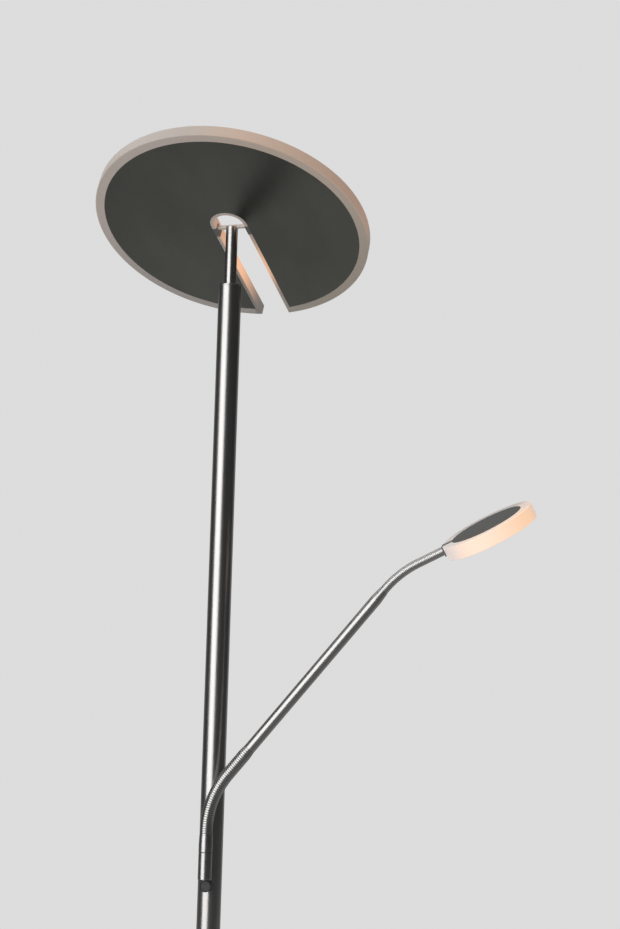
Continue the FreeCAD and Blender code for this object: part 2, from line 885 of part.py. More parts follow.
def arm_tube():
    """Rigid tube between the two hoses."""
    return on_arm(ring(tube_radius, tube_radius - tube_wall, 0, tube_length), lower_hose_length)


def arm_lead():
    """Lead through the tube, from the coupling to the upper hose."""
    start = lower_hose_length - coupling_reach
    return on_arm(rod(arm_lead_radius, upper_hose_start - start - free_gap), start)


# Reading head, drawn flat about its centre

def tab_piece(gap=0.0):
    """The plate's tab: over the rim and down its outside to the hose."""
    half = reading_tab_width / 2 + gap
    outer = reading_radius + reading_tab_thickness
    over = block(
        (-outer, -reading_cavity_radius + 2 * reading_tab_thickness),
        (-half, half),
        (reading_top - reading_plate_thickness - gap, reading_top),
    )
    down = block(
        (-outer, -reading_radius + gap),
        (-half, half),
        (reading_top - reading_tab_length, reading_top),
    )
    return joined([over, down])


def reading_plate():
    """Round steel back plate with its bent tab."""
    bottom = reading_top - reading_plate_thickness
    disc = rod(reading_cavity_radius - panel_gap, reading_plate_thickness, (0, 0, bottom))
    plate = joined([disc, tab_piece()])
    lead_hole = rod(
        upper_hose_bore_radius - running_gap,
        reading_rim_width,
        (-reading_radius - 2 * reading_tab_thickness, 0, hose_axis_level),
        (1, 0, 0),
    )
    return on_reading_head(plate.cut(lead_hole))


def reading_diffuser():
    """Frosted cup of the reading head, open at the plate, notched for the tab and its screw."""
    bottom = -reading_top
    body = rod(reading_radius, reading_thickness, (0, 0, bottom))
    body = round_edges(body, [bottom, reading_top], reading_edge_radius)
    cavity = rod(
        reading_cavity_radius, reading_thickness - reading_skin, (0, 0, bottom + reading_skin)
    )
    screw_room = rod(
        hose_screw_head_radius + panel_gap,
        2 * reading_rim_width,
        (-reading_radius - reading_tab_thickness, 0, hose_axis_level),
        (1, 0, 0),
    )
    return on_reading_head(body.cut([cavity, screw_room, tab_piece(panel_gap)]))


def hose_screw():
    """Hollow screw through the tab into the upper hose's end."""
    head = rod(
        hose_screw_head_radius, hose_screw_head_height, (-reading_radius, 0, hose_axis_level), (1, 0, 0)
    )
    shank_length = hose_screw_reach + reading_tab_thickness
    shank = rod(
        upper_hose_bore_radius - 2 * running_gap,
        shank_length,
        (-reading_radius, 0, hose_axis_level),
        (-1, 0, 0),
    )
    bore = rod(
        hose_screw_bore_radius,
        shank_length + hose_screw_head_height,
        (-reading_radius - shank_length, 0, hose_axis_level),
        (1, 0, 0),
    )
    return on_reading_head(joined([head, shank]).cut(bore))


def reading_board():
    """Small round board under the plate, facing down."""
    bottom = reading_top - reading_plate_thickness - reading_board_thickness
    return on_reading_head(rod(reading_board_radius, reading_board_thickness, (0, 0, bottom)))


def reading_chips():
    """Ring of chips under the small board."""
    top = reading_top - reading_plate_thickness - reading_board_thickness
    chips = []
    for x, y in circle_points(reading_chip_circle, reading_chip_count):
        chips.append(
            block(
                (x - chip_size / 2, x + chip_size / 2),
                (y - chip_size / 2, y + chip_size / 2),
                (top - chip_height, top),
            )
        )
    return on_reading_head(Part.makeCompound(chips))


def reading_screws():
    """Screws that hold the small board to the plate."""
    top = reading_top - reading_plate_thickness - reading_board_thickness
    screws = [
        rod(small_screw_head_radius, small_screw_head_height, (x, y, top - small_screw_head_height))
        for x, y in circle_points(reading_screw_circle, reading_screw_count, reading_screw_start)
    ]
    return on_reading_head(Part.makeCompound(screws))


# Dimmers

def knob_heights():
    """Heights of the reading light's knob and of the main light's knob below it."""
    return reading_knob_height, reading_knob_height - knob_spacing


def knob(height):
    """Plain round knob on its shaft."""
    start = pole_radius + knob_from_pole
    body = rod(knob_radius, knob_length)
    body = round_edges(body, [knob_length], knob_edge_radius)
    bore = rod(shaft_radius + press_gap, knob_length - knob_front_wall)
    forward = Placement(Vector(0, -start, height), Rotation(Vector(1, 0, 0), 90))
    return body.cut(bore).transformed(forward.toMatrix())


def dimmer_shaft(height):
    """Shaft that the knob turns in the dimmer."""
    end = pole_radius + knob_from_pole + knob_length - knob_front_wall - panel_gap
    return rod(shaft_radius, end - shaft_seat, (0, -shaft_seat, height), (0, -1, 0))


def dimmer(height):
    """Dimmer housing inside the pole, with its neck through the pole's wall."""
    half = dimmer_half_width
    forward = (0, -1, 0)
    housing = block((-half, half), (-dimmer_front, -dimmer_back), (height - half, height + half))
    neck_end = pole_radius + knob_from_pole - panel_gap
    neck = rod(dimmer_neck_radius, neck_end - dimmer_front, (0, -dimmer_front, height), forward)
    bore_start = shaft_seat - running_gap
    bore = rod(shaft_radius + running_gap, pole_radius, (0, -bore_start, height), forward)
    return joined([housing, neck]).cut(bore)


def lamp_pieces():
    """Every piece of the lamp by its node name."""
    reading_level, main_level = knob_heights()
    return {
        "floor_pad": floor_pad(),
        "bottom_plate": bottom_plate(),
        "base_screws": base_screws(),
        "base_weight": base_weight(),
        "base_cover": base_cover(),
        "driver": driver(),
        "cord_inlet": cord_inlet(),
        "threaded_tube": threaded_tube(),
        "tube_nut": tube_nut(),
        "tube_washer": tube_washer(),
        "foot_insert": foot_insert(),
        "pole_lower": pole_lower(),
        "pole_joiner": pole_joiner(),
        "pole_upper": pole_upper(),
        "top_bush": top_bush(),
        "stem_grub_screw": stem_grub_screw(),
        "thrust_washer": thrust_washer(),
        "pole_lead": pole_lead(),
        "dimmer_reading": dimmer(reading_level),
        "dimmer_main": dimmer(main_level),
        "knob_reading": knob(reading_level),
        "knob_main": knob(main_level),
        "shaft_reading": dimmer_shaft(reading_level),
        "shaft_main": dimmer_shaft(main_level),
        "arm_stub": arm_stub(),
        "stub_nut": stub_nut(),
        "arm_spacer": arm_spacer(),
        "arm_block": arm_block(),
        "seam_washer": seam_washer(),
        "stem": stem(),
        "stem_head": stem_head(),
        "stem_lead": stem_lead(),
        "tilt_axle": tilt_axle(),
        "tilt_friction_screws": tilt_friction_screws(),
        "hinge_lug_left": hinge_lug(-1),
        "hinge_lug_right": hinge_lug(1),
        "lug_screws": lug_screws(),
        "head_plate": head_plate(),
        "led_board": led_board(),
        "led_chips": led_chips(),
        "board_screws": board_screws(),
        "head_leads": head_leads(),
        "head_diffuser": head_diffuser(),
        "swivel_pin": swivel_pin(),
        "hose_sleeve": hose_sleeve(),
        "gooseneck_lower": gooseneck_lower(),
        "hose_coupling": hose_coupling(),
        "arm_tube": arm_tube(),
        "arm_lead": arm_lead(),
        "gooseneck_upper": gooseneck_upper(),
        "hose_screw": hose_screw(),
        "reading_plate": reading_plate(),
        "reading_board": reading_board(),
        "reading_chips": reading_chips(),
        "reading_screws": reading_screws(),
        "reading_diffuser": reading_diffuser(),
    }


os.makedirs("parts", exist_ok=True)
for name, shape in lamp_pieces().items():
    shape.exportStep("parts/" + name + ".step")
    state = "valid" if shape.isValid() else "INVALID"
    print(name, len(shape.Solids), "solid(s)", round(shape.Volume), "mm3", state)
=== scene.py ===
"""Torchiere floor lamp with reading light: its finished surfaces, materials, light and camera.

Sizes are in millimetres as in the construction, and shapes are written to their meshes in metres.
"""
import math

import bmesh
import bpy
import numpy as np
from mathutils import Matrix, Vector


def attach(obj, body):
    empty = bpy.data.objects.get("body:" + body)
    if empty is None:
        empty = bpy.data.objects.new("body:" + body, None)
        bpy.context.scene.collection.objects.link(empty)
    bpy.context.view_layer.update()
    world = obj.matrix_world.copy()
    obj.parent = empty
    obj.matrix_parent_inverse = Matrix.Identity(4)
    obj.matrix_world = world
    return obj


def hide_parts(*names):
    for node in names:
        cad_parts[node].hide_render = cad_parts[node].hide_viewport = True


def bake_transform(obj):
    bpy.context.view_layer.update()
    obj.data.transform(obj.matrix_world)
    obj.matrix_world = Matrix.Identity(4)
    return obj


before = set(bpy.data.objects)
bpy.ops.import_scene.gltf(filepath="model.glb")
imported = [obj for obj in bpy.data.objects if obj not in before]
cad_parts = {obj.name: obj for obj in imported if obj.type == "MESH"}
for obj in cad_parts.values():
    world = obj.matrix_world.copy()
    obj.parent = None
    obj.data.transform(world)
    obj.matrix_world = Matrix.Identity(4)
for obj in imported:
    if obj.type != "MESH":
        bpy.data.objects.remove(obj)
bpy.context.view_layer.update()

METRES = 0.001

# How meshes are finished, with the distances in metres
MERGE_DISTANCE, SLIVER = 2e-6, 1e-7
SHARP_ANGLE = math.radians(40)
BOX_FACES = [(0, 1, 3, 2), (4, 6, 7, 5), (0, 4, 5, 1), (2, 3, 7, 6), (0, 2, 6, 4), (1, 5, 7, 3)]

# Gaps between pieces that are pressed together and pieces that turn, and how far a cutter reaches past
FIT_GAP, RUNNING_GAP, CUT_PAST = 0.02, 0.05, 1.0

# Sizes of the lamp
HUB_HEIGHT = 1800.0
POLE_RADIUS, POLE_WALL = 12.5, 1.2
POLE_SPLIT, POLE_TOP, CAP_THICKNESS, BUSH_DEPTH = 880.0, 1734.0, 2.0, 45.0
COVER_BOTTOM, COVER_TOP, BASE_RADIUS, COVER_WALL, COVER_EDGE = 3.0, 21.0, 135.0, 1.2, 6.0
COVER_HOLE = 10.5
INLET_HEIGHT, INLET_BORE, INLET_BODY, INLET_LENGTH = 10.5, 3.5, 4.78, 8.0
INLET_FLANGE, FLANGE_THICKNESS = 6.0, 1.5
STEM_RADIUS, STEM_WALL, STEM_TOP, STEM_BOTTOM, PLUG_DEPTH = 6.5, 1.5, 1791.0, 1690.0, 14.0

HEAD_TURN, HEAD_TILT = -9.9, 25.0
HEAD_RADIUS, HEAD_BOTTOM, HEAD_TOP, HEAD_RIM = 152.5, -4.4, 9.0, 10.0
SLOT_HALF, SLOT_WALL, HOLE_BEHIND, HEAD_SKIN = 16.6, 4.4, 7.5, 2.5
PLATE_TOP, PLATE_GAP, HEAD_EDGE = -2.9, 0.15, 1.0
AXLE_RADIUS, AXLE_HALF = 2.5, 21.0
LUG_INNER, LUG_NOSE, LUG_OUTER, LUG_BACK, LUG_FRONT, LUG_TOP = 16.75, 21.15, 34.0, -3.6, 9.7, 4.6
LUG_ROOM, LUG_EASE = 0.3, 0.3

ARM_OFFSET, ARM_TURN = 24.0, -4.0
BLOCK_RADIUS, BLOCK_BOTTOM, BLOCK_TOP, SEAM_TOP, SEAM_RADIUS = 7.2, 1097.5, 1125.0, 1125.5, 6.6
PIN_RADIUS, PIN_DEPTH, PIN_TOP, LEAD_HOLE = 4.0, 14.3, 1132.05, 2.0
SLEEVE_RADIUS, SLEEVE_BOTTOM, SLEEVE_TOP, HOSE_SEAT = 7.3, 1125.55, 1143.05, 1133.05
SLEEVE_MOUTH = 6.92
LOWER_RADIUS, LOWER_PITCH, LOWER_DEPTH = 6.8, 2.4, 0.3
UPPER_RADIUS, UPPER_PITCH, UPPER_DEPTH = 4.7, 1.8, 0.18
HOSE_TAPER, TUBE_NOSE, TUBE_LIP = 8.0, 12.0, 4.0
TUBE_RADIUS, TUBE_LENGTH, TUBE_WALL, UPPER_SEAT = 6.0, 216.7, 1.1, 10.0
READING_TWIST, CHIP_CIRCLE = 18.9, 23.0
READING_RADIUS, READING_HALF, READING_RIM, READING_EDGE = 50.6, 7.6, 11.2, 1.2
READING_PLATE, HOSE_BELOW_PLATE, TAB_WIDTH, TAB_LENGTH = 1.2, 5.35, 12.0, 11.0
KNOB_RADIUS, KNOB_LENGTH, KNOB_START, KNOB_HEIGHTS = 6.2, 7.5, 13.0, (1090.5, 1030.5)
KNOB_BORE, KNOB_FRONT, KNOB_DISH, KNOB_LIP = 2.1, 1.5, 0.35, 0.9

# The arm's centre line: runs of (length, turn away from upright in degrees)
LOWER_START, LOWER_BEND, LOWER_TURN, LOWER_END = 14.0, 92.0, 40.0, 35.1
UPPER_FREE, UPPER_BEND, UPPER_TURN, UPPER_END = 11.6, 109.0, 23.8, 28.4
LOWER_ARC = LOWER_BEND * math.radians(LOWER_TURN)
LOWER_LENGTH = LOWER_START + LOWER_ARC + LOWER_END
UPPER_START = LOWER_LENGTH + TUBE_LENGTH - UPPER_SEAT
ARM_RUNS = (
    (LOWER_START, 0.0),
    (LOWER_ARC, LOWER_TURN),
    (LOWER_END + TUBE_LENGTH - UPPER_SEAT + UPPER_FREE, 0.0),
    (UPPER_BEND * math.radians(UPPER_TURN), UPPER_TURN),
    (UPPER_END, 0.0),
)
ARM_LENGTH = sum(length for length, turn in ARM_RUNS)

# Lengths of the hoses that the sleeve, the tube's lower end and the tab hold still
SLEEVE_HOLD, TUBE_HOLD, TAB_HOLD = 10.0, 2.0, 3.0

# The camera: its place in metres, its angles in degrees, and its focal length in pixels of the photograph
CAMERA_PLACE = (0.474, -1.989, 1.254)
CAMERA_AZIMUTH, CAMERA_RISE, CAMERA_ROLL = 10.8, 7.93, 1.59
SENSOR, PHOTO_HEIGHT, FOCAL_PIXELS = 36.0, 929.0, 1907.0

# The studio: the floor's radius in metres, the levels of its colours, and the way to the pale wall
FLOOR_RADIUS, FLOOR_SIDES = 8.0, 96
BACKDROP, ROOM_LIGHT, DARK_ROOM = 0.72, 0.42, 0.035
WALL_WAY = (-0.187, 0.982, 0.0)


# Where things are placed

def turn_about(axis, degrees):
    """Rotation matrix about an axis, as an array."""
    return np.array(Matrix.Rotation(math.radians(degrees), 3, Vector(axis)))


def placed(points, rotation=None, origin=(0.0, 0.0, 0.0)):
    """Points turned by a rotation and then moved to an origin."""
    points = np.asarray(points, float)
    if rotation is not None:
        points = points @ np.asarray(rotation).T
    return points + np.asarray(origin, float)


def on_head(points):
    """Points of the flat head, tipped about its hinge and turned with the stem."""
    rotation = turn_about((0, 0, 1), HEAD_TURN) @ turn_about((1, 0, 0), -HEAD_TILT)
    return placed(points, rotation, (0, 0, HUB_HEIGHT))


def on_stem(points):
    """Points of the stem's hinge block, turned with the head."""
    return placed(points, turn_about((0, 0, 1), HEAD_TURN), (0, 0, HUB_HEIGHT))


def arm_walk(distance):
    """Reach, height and heading at distances along the arm.

    Each run adds its share: a straight run adds length times the sine and cosine of the heading, and an
    arc adds the differences of cosines and sines over its curvature.
    """
    distance = np.asarray(distance, float)
    reach = np.zeros_like(distance)
    height = np.full_like(distance, HOSE_SEAT)
    heading = np.zeros_like(distance)
    start = 0.0
    for length, turn in ARM_RUNS:
        step = np.clip(distance - start, 0.0, length)
        if turn:
            curvature = math.radians(turn) / length
            after = heading + curvature * step
            reach += (np.cos(heading) - np.cos(after)) / curvature
            height += (np.sin(after) - np.sin(heading)) / curvature
            heading = after
        else:
            reach += step * np.sin(heading)
            height += step * np.cos(heading)
        start += length
    return reach, height, heading


def arm_frames(distance):
    """Centre, across, sideways and along vectors of the arm at each distance."""
    reach, height, heading = arm_walk(distance)
    cosine, sine = math.cos(math.radians(ARM_TURN)), math.sin(math.radians(ARM_TURN))
    centre = np.stack([reach * cosine, reach * sine - ARM_OFFSET, height], -1)
    along = np.stack([np.sin(heading) * cosine, np.sin(heading) * sine, np.cos(heading)], -1)
    sideways = np.broadcast_to(np.array([sine, -cosine, 0.0]), along.shape)
    return centre, np.cross(along, sideways), sideways, along


def on_arm(points, distance):
    """Points drawn about an upright axis, carried to a place on the arm."""
    centre, across, sideways, along = arm_frames(distance)
    return placed(points, np.stack([sideways, across, along], -1), centre)


def on_reading_head(points):
    """Points of the flat reading head, plate up and hose at -X, carried to the arm's end and turned."""
    centre, across, sideways, along = arm_frames(ARM_LENGTH)
    sideways = turn_about(along, READING_TWIST) @ sideways
    up = np.cross(sideways, along)
    middle = centre + along * (READING_RADIUS + READING_PLATE) - up * (READING_HALF - HOSE_BELOW_PLATE)
    return placed(points, np.stack([along, -sideways, up], -1), middle)


# How a surface becomes a piece

def write_piece(name, points, faces, uv, finish, body, stands_for=(), slot=None, cuts=(), weighted=True):
    """A mesh piece from points in millimetres, quads or polygons, and a UV for every point.

    Doubled points, such as the seam and the poles of a spun shape, are merged, the cutters are taken out,
    and the piece is set on its body when that is a single name, and otherwise left in place in the world.
    """
    mesh = bpy.data.meshes.new(name)
    mesh.from_pydata((np.asarray(points) * METRES).tolist(), [], [list(face) for face in faces])
    layer = mesh.uv_layers.new(name="surface")
    corners = np.empty(len(mesh.loops), int)
    mesh.loops.foreach_get("vertex_index", corners)
    layer.data.foreach_set("uv", np.asarray(uv, np.float32)[corners].ravel())
    shape = bmesh.new()
    shape.from_mesh(mesh)
    bmesh.ops.remove_doubles(shape, verts=shape.verts, dist=MERGE_DISTANCE)
    bmesh.ops.dissolve_degenerate(shape, edges=shape.edges, dist=SLIVER)
    bmesh.ops.recalc_face_normals(shape, faces=shape.faces)
    shape.to_mesh(mesh)
    shape.free()
    piece = bpy.data.objects.new(name, mesh)
    bpy.context.scene.collection.objects.link(piece)
    if cuts:
        cut_out(piece, cuts)
    for polygon in piece.data.polygons:
        polygon.use_smooth = True
    piece.data.set_sharp_from_angle(angle=SHARP_ANGLE)
    if weighted:
        piece.modifiers.new("even", "WEIGHTED_NORMAL").keep_sharp = True
    piece.data.materials.clear()
    piece.data.materials.append(finish)
    if isinstance(body, str):
        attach(piece, body)
    else:
        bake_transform(piece)
    if stands_for:
        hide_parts(*stands_for)
    return piece


def cut_out(piece, boxes):
    """Take boxes, given by their eight corner points in millimetres, out of a piece."""
    for corners in boxes:
        cutter_mesh = bpy.data.meshes.new("cutter")
        cutter_mesh.from_pydata((np.asarray(corners) * METRES).tolist(), [], BOX_FACES)
        shape = bmesh.new()
        shape.from_mesh(cutter_mesh)
        bmesh.ops.recalc_face_normals(shape, faces=shape.faces)
        shape.to_mesh(cutter_mesh)
        shape.free()
        cutter = bpy.data.objects.new("cutter", cutter_mesh)
        bpy.context.scene.collection.objects.link(cutter)
        modifier = piece.modifiers.new("cut", "BOOLEAN")
        modifier.operation, modifier.solver, modifier.object = "DIFFERENCE", "EXACT", cutter
        bpy.context.view_layer.update()
        evaluated = piece.evaluated_get(bpy.context.evaluated_depsgraph_get())
        cut_mesh = bpy.data.meshes.new_from_object(evaluated)
        piece.modifiers.remove(modifier)
        piece.data = cut_mesh
        bpy.data.objects.remove(cutter)


def box_corners(x_span, y_span, z_span):
    """The eight corners of a box."""
    return np.array([(x, y, z) for x in x_span for y in y_span for z in z_span], float)


def grid_faces(rows, columns):
    """Quads of a grid of rows by columns points, written row by row."""
    row, column = np.meshgrid(np.arange(rows - 1), np.arange(columns - 1), indexing="ij")
    first = (row * columns + column).ravel()
    return np.stack([first, first + 1, first + columns + 1, first + columns], -1)


def rounded(corners, steps=6):
    """A profile line whose corners are rounded.

    Each corner is (radius, height, fillet). The arc of a corner runs between its two tangent points, at
    fillet times the tangent of half the turn from the corner, with points at equal angles.
    """
    corners = np.asarray(corners, float)
    line = [corners[0, :2]]
    for before, corner, after in zip(corners[:-2], corners[1:-1], corners[2:]):
        point, fillet = corner[:2], corner[2]
        if fillet <= 0:
            line.append(point)
            continue
        back = (before[:2] - point) / np.linalg.norm(before[:2] - point)
        ahead = (after[:2] - point) / np.linalg.norm(after[:2] - point)
        half = 0.5 * math.acos(float(np.clip(back @ ahead, -1, 1)))
        middle = (back + ahead) / np.linalg.norm(back + ahead)
        centre = point + middle * fillet / math.sin(half)
        start = point + back * fillet / math.tan(half) - centre
        end = point + ahead * fillet / math.tan(half) - centre
        sweep = math.atan2(start[0] * end[1] - start[1] * end[0], float(start @ end))
        angles = np.linspace(0.0, sweep, steps + 1)
        line.extend(
            centre + start * math.cos(angle) + np.array([-start[1], start[0]]) * math.sin(angle)
            for angle in angles
        )
    line.append(corners[-1, :2])
    return np.array(line)


def spun(profile, sides=96):
    """Points, faces and UV of a profile of (radius, height) turned about Z.

    A point is (radius cos a, radius sin a, height). U is the angle's share of a turn and V the length
    along the profile.
    """
    profile = np.asarray(profile, float)
    run = np.r_[0.0, np.cumsum(np.linalg.norm(np.diff(profile, axis=0), axis=1))]
    angle = np.linspace(0.0, 2 * np.pi, sides + 1)
    radius, height = profile[:, :1], profile[:, 1:]
    points = np.stack(
        [radius * np.cos(angle), radius * np.sin(angle), height + 0 * angle], -1
    ).reshape(-1, 3)
    uv = np.stack(np.broadcast_arrays(angle[None] / (2 * np.pi), run[:, None]), -1).reshape(-1, 2)
    return points, grid_faces(len(profile), sides + 1), uv


def tube_profile(outer, inner, bottom, top, edge=0.3):
    """Closed profile of a tube: outside, top, inside and bottom, with eased outer edges."""
    middle = (bottom + top) / 2
    return rounded([
        (outer, middle, 0), (outer, top, edge), (inner, top, edge / 2), (inner, bottom, edge / 2),
        (outer, bottom, edge), (outer, middle, 0),
    ])


# Shader trees

class Signal:
    """A socket of a shader tree on which sums, differences, products and powers can be written."""

    def __init__(self, tree, socket):
        self.tree, self.socket = tree, socket

    def _math(self, operation, first, second=None):
        """A Math node on one or two values."""
        inputs = {0: first} if second is None else {0: first, 1: second}
        return self.tree.add("ShaderNodeMath", {"operation": operation}, inputs)

    def __add__(self, other):
        return self._math("ADD", self, other)

    def __radd__(self, other):
        return self._math("ADD", other, self)

    def __sub__(self, other):
        return self._math("SUBTRACT", self, other)

    def __rsub__(self, other):
        return self._math("SUBTRACT", other, self)

    def __mul__(self, other):
        return self._math("MULTIPLY", self, other)

    def __rmul__(self, other):
        return self._math("MULTIPLY", other, self)

    def __pow__(self, other):
        return self._math("POWER", self, other)

    def absolute(self):
        return self._math("ABSOLUTE", self)

    def fraction(self):
        """What is left after the whole number is taken off."""
        return self._math("FRACT", self)

    def maximum(self, other):
        return self._math("MAXIMUM", self, other)

    def rise(self, low, high):
        """Zero below low, one above high, smooth between."""
        return self.tree.add(
            "ShaderNodeMapRange", {"interpolation_type": "SMOOTHSTEP"},
            {"Value": self, "From Min": low, "From Max": high},
        )

    def parts(self):
        """The three parts of a vector."""
        node = self.tree.node("ShaderNodeSeparateXYZ", {}, {"Vector": self})
        return [Signal(self.tree, node.outputs[axis]) for axis in "XYZ"]


class Finish:
    """The shader tree of a material or of the world, whose nodes are added by a single method."""

    def __init__(self, owner, output="ShaderNodeOutputMaterial"):
        self.owner = bpy.data.materials.new(owner) if isinstance(owner, str) else owner
        self.owner.use_nodes = True
        self.nodes = self.owner.node_tree.nodes
        self.links = self.owner.node_tree.links
        self.nodes.clear()
        self.output = self.nodes.new(output)

    def node(self, kind, settings, inputs):
        """A node with its settings made first, then its sockets filled with values or links."""
        node = self.nodes.new(kind)
        for key, value in settings.items():
            setattr(node, key, value)
        for key, value in inputs.items():
            socket = node.inputs[key]
            if isinstance(value, Signal):
                self.links.new(value.socket, socket)
            else:
                socket.default_value = value
        return node

    def add(self, kind, settings, inputs, output=0):
        """The chosen output of a new node."""
        return Signal(self, self.node(kind, settings, inputs).outputs[output])

    def rays(self, *kinds):
        """One where the ray that meets the surface is of a kind, for each of the kinds."""
        node = self.node("ShaderNodeLightPath", {}, {})
        return [Signal(self, node.outputs[f"Is {kind} Ray"]) for kind in kinds]

    def place(self):
        """The point in the lamp's own frame, in metres."""
        return self.add("ShaderNodeTexCoord", {}, {}, "Object")

    def surface(self):
        """The piece's own map: the share of a turn, and millimetres along."""
        return self.add("ShaderNodeUVMap", {"uv_map": "surface"}, {})

    def stretched(self, vector, scale):
        """A vector with its parts multiplied."""
        return self.add("ShaderNodeVectorMath", {"operation": "MULTIPLY"}, {0: vector, 1: scale})

    def noise(self, vector, scale, detail=4.0, roughness=0.55):
        """Soft noise from zero to one."""
        inputs = {"Vector": vector, "Scale": scale, "Detail": detail, "Roughness": roughness}
        return self.add("ShaderNodeTexNoise", {}, inputs)

    def blend(self, share, first, second):
        """A colour between two colours."""
        settings = {"data_type": "RGBA", "blend_type": "MIX"}
        node = self.node("ShaderNodeMix", settings, {0: share, 6: first, 7: second})
        return Signal(self, node.outputs[2])

    def bump(self, height, strength, distance):
        """Normals of a height given in metres times distance."""
        inputs = {"Height": height, "Strength": strength, "Distance": distance}
        return self.add("ShaderNodeBump", {}, inputs)

    def shows(self, kind, inputs):
        """Ends the tree with a shader, and returns the material or world."""
        self.links.new(self.node(kind, {}, inputs).outputs[0], self.output.inputs[0])
        return self.owner

    def surface_shader(self, **inputs):
        """The principled shader, with underscores in place of the spaces in its socket names."""
        named = {key.replace("_", " "): value for key, value in inputs.items()}
        return self.shows("ShaderNodeBsdfPrincipled", named)


# The satin nickel: its level, its warmth, and the level of its gloss where seen at a slant
STEEL, STEEL_WARMTH, GRAZING = 0.46, 0.015, 0.3


def grey(level, warmth=0.0):
    """An opaque colour of one level, a little warmer or cooler."""
    return (level * (1 + warmth), level, level * (1 - warmth), 1.0)


def brushed_steel(name, level, along, around, roughness=0.27, grazing=GRAZING):
    """Satin nickel: long fine scratches on the piece's own map, with faint cloudy dulling.

    Two noises are stretched along the brushing. Both move the colour, and the fine one also moves the
    roughness and a very shallow bump. The grazing level dims the gloss where seen at a slant.
    """
    finish = Finish(name)
    flat = finish.surface()
    fine = finish.noise(finish.stretched(flat, (around, along, 0.0)), 1.0, 6.0, 0.7)
    coarse = finish.noise(finish.stretched(flat, (around * 0.2, along * 0.35, 0.0)), 1.0, 3.0)
    cloud = finish.noise(finish.place(), 14.0, 2.0)
    shade = (fine * 0.55 + coarse * 0.45).rise(0.25, 0.75)
    colour = finish.blend(shade, grey(level * 0.86, STEEL_WARMTH), grey(level * 1.12, STEEL_WARMTH))
    dull = roughness - 0.05 + fine * 0.08 + cloud * 0.06
    return finish.surface_shader(
        Base_Color=colour, Metallic=1.0, Roughness=dull, Specular_Tint=grey(grazing),
        Normal=finish.bump(fine, 0.12, 0.0001),
    )


def plain_metal(name, level, roughness=0.35, metallic=1.0, warmth=0.0, grain=900.0):
    """Machined or plated metal read in the lamp's own frame: fine even grain."""
    finish = Finish(name)
    grain_noise = finish.noise(finish.place(), grain, 3.0)
    colour = finish.blend(grain_noise, grey(level * 0.85, warmth), grey(level * 1.12, warmth))
    return finish.surface_shader(
        Base_Color=colour, Metallic=metallic, Roughness=roughness - 0.06 + grain_noise * 0.12,
        Normal=finish.bump(grain_noise, 0.1, 0.0001),
    )


def hose_steel(name, level, pitch, painted_groove_shade, roughness):
    """Wound hose: the steel of the tubes, duller down in each groove, where the colour is darkened as
    painted shade.

    The groove's nearness is one minus twice the distance from it, in shares of the pitch, where the
    winding climbs one pitch in a turn.
    """
    finish = Finish(name)
    around, along = finish.surface().parts()[:2]
    phase = (along * (1 / pitch) - around).fraction()
    groove = ((phase - 0.5).absolute() * 2.0).rise(0.7, 1.0)
    grain = finish.noise(finish.stretched(finish.surface(), (60.0, 6.0, 0.0)), 1.0, 4.0)
    steel = finish.blend(grain, grey(level * 0.85, STEEL_WARMTH), grey(level * 1.12, STEEL_WARMTH))
    # Painted shade: the colour darkens down in each groove.
    colour = finish.blend(groove, steel, grey(level * painted_groove_shade, 0.01))
    return finish.surface_shader(
        Base_Color=colour, Metallic=1.0, Roughness=roughness + groove * 0.15 + grain * 0.07,
        Specular_Tint=grey(GRAZING),
    )


def plate_painted_dark(name, level, grazing):
    """Satin steel plate painted near black as a painted dark reflection, with faint brushing across the
    disc and a soft cloudy sheen.

    The grazing level dims the gloss where seen at a slant.
    """
    finish = Finish(name)
    flat = finish.surface()
    brushing = finish.noise(finish.stretched(flat, (0.9, 0.05, 0.0)), 1.0, 5.0, 0.65)
    cloud = finish.noise(finish.stretched(flat, (0.012, 0.006, 0.0)), 1.0, 2.0)
    shade = (brushing * 0.35 + cloud * 0.65).rise(0.3, 0.7)
    # Painted dark reflection: the low level and olive tint darken the steel's own colour.
    dark = (level * 0.86, level * 0.87, level * 0.78, 1.0)
    light = (level * 1.11, level * 1.13, level * 1.0, 1.0)
    colour = finish.blend(shade, dark, light)
    return finish.surface_shader(
        Base_Color=colour, Metallic=1.0, Roughness=0.2 + brushing * 0.06 + cloud * 0.05,
        Specular_Tint=grey(grazing),
        Normal=finish.bump(brushing, 0.05, 0.0001),
    )


def soft_plastic(name, colour, roughness=0.55, grain=1500.0):
    """Moulded plastic or rubber with a fine matt grain."""
    finish = Finish(name)
    texture = finish.noise(finish.place(), grain, 3.0)
    light = tuple(min(1.0, part * 1.25 + 0.004) for part in colour)
    tone = finish.blend(texture, (*colour, 1.0), (*light, 1.0))
    return finish.surface_shader(
        Base_Color=tone, Roughness=roughness - 0.05 + texture * 0.1,
        Normal=finish.bump(texture, 0.25, 0.0002),
    )


def felt(name):
    """Dark needled felt: two noises of different size."""
    finish = Finish(name)
    fibres = finish.noise(finish.place(), 2200.0, 6.0, 0.8)
    tufts = finish.noise(finish.place(), 260.0, 3.0)
    tone = finish.blend(fibres * 0.6 + tufts * 0.4, grey(0.012), grey(0.05))
    return finish.surface_shader(
        Base_Color=tone, Roughness=0.95, Sheen_Weight=0.3, Normal=finish.bump(fibres, 0.6, 0.0006)
    )


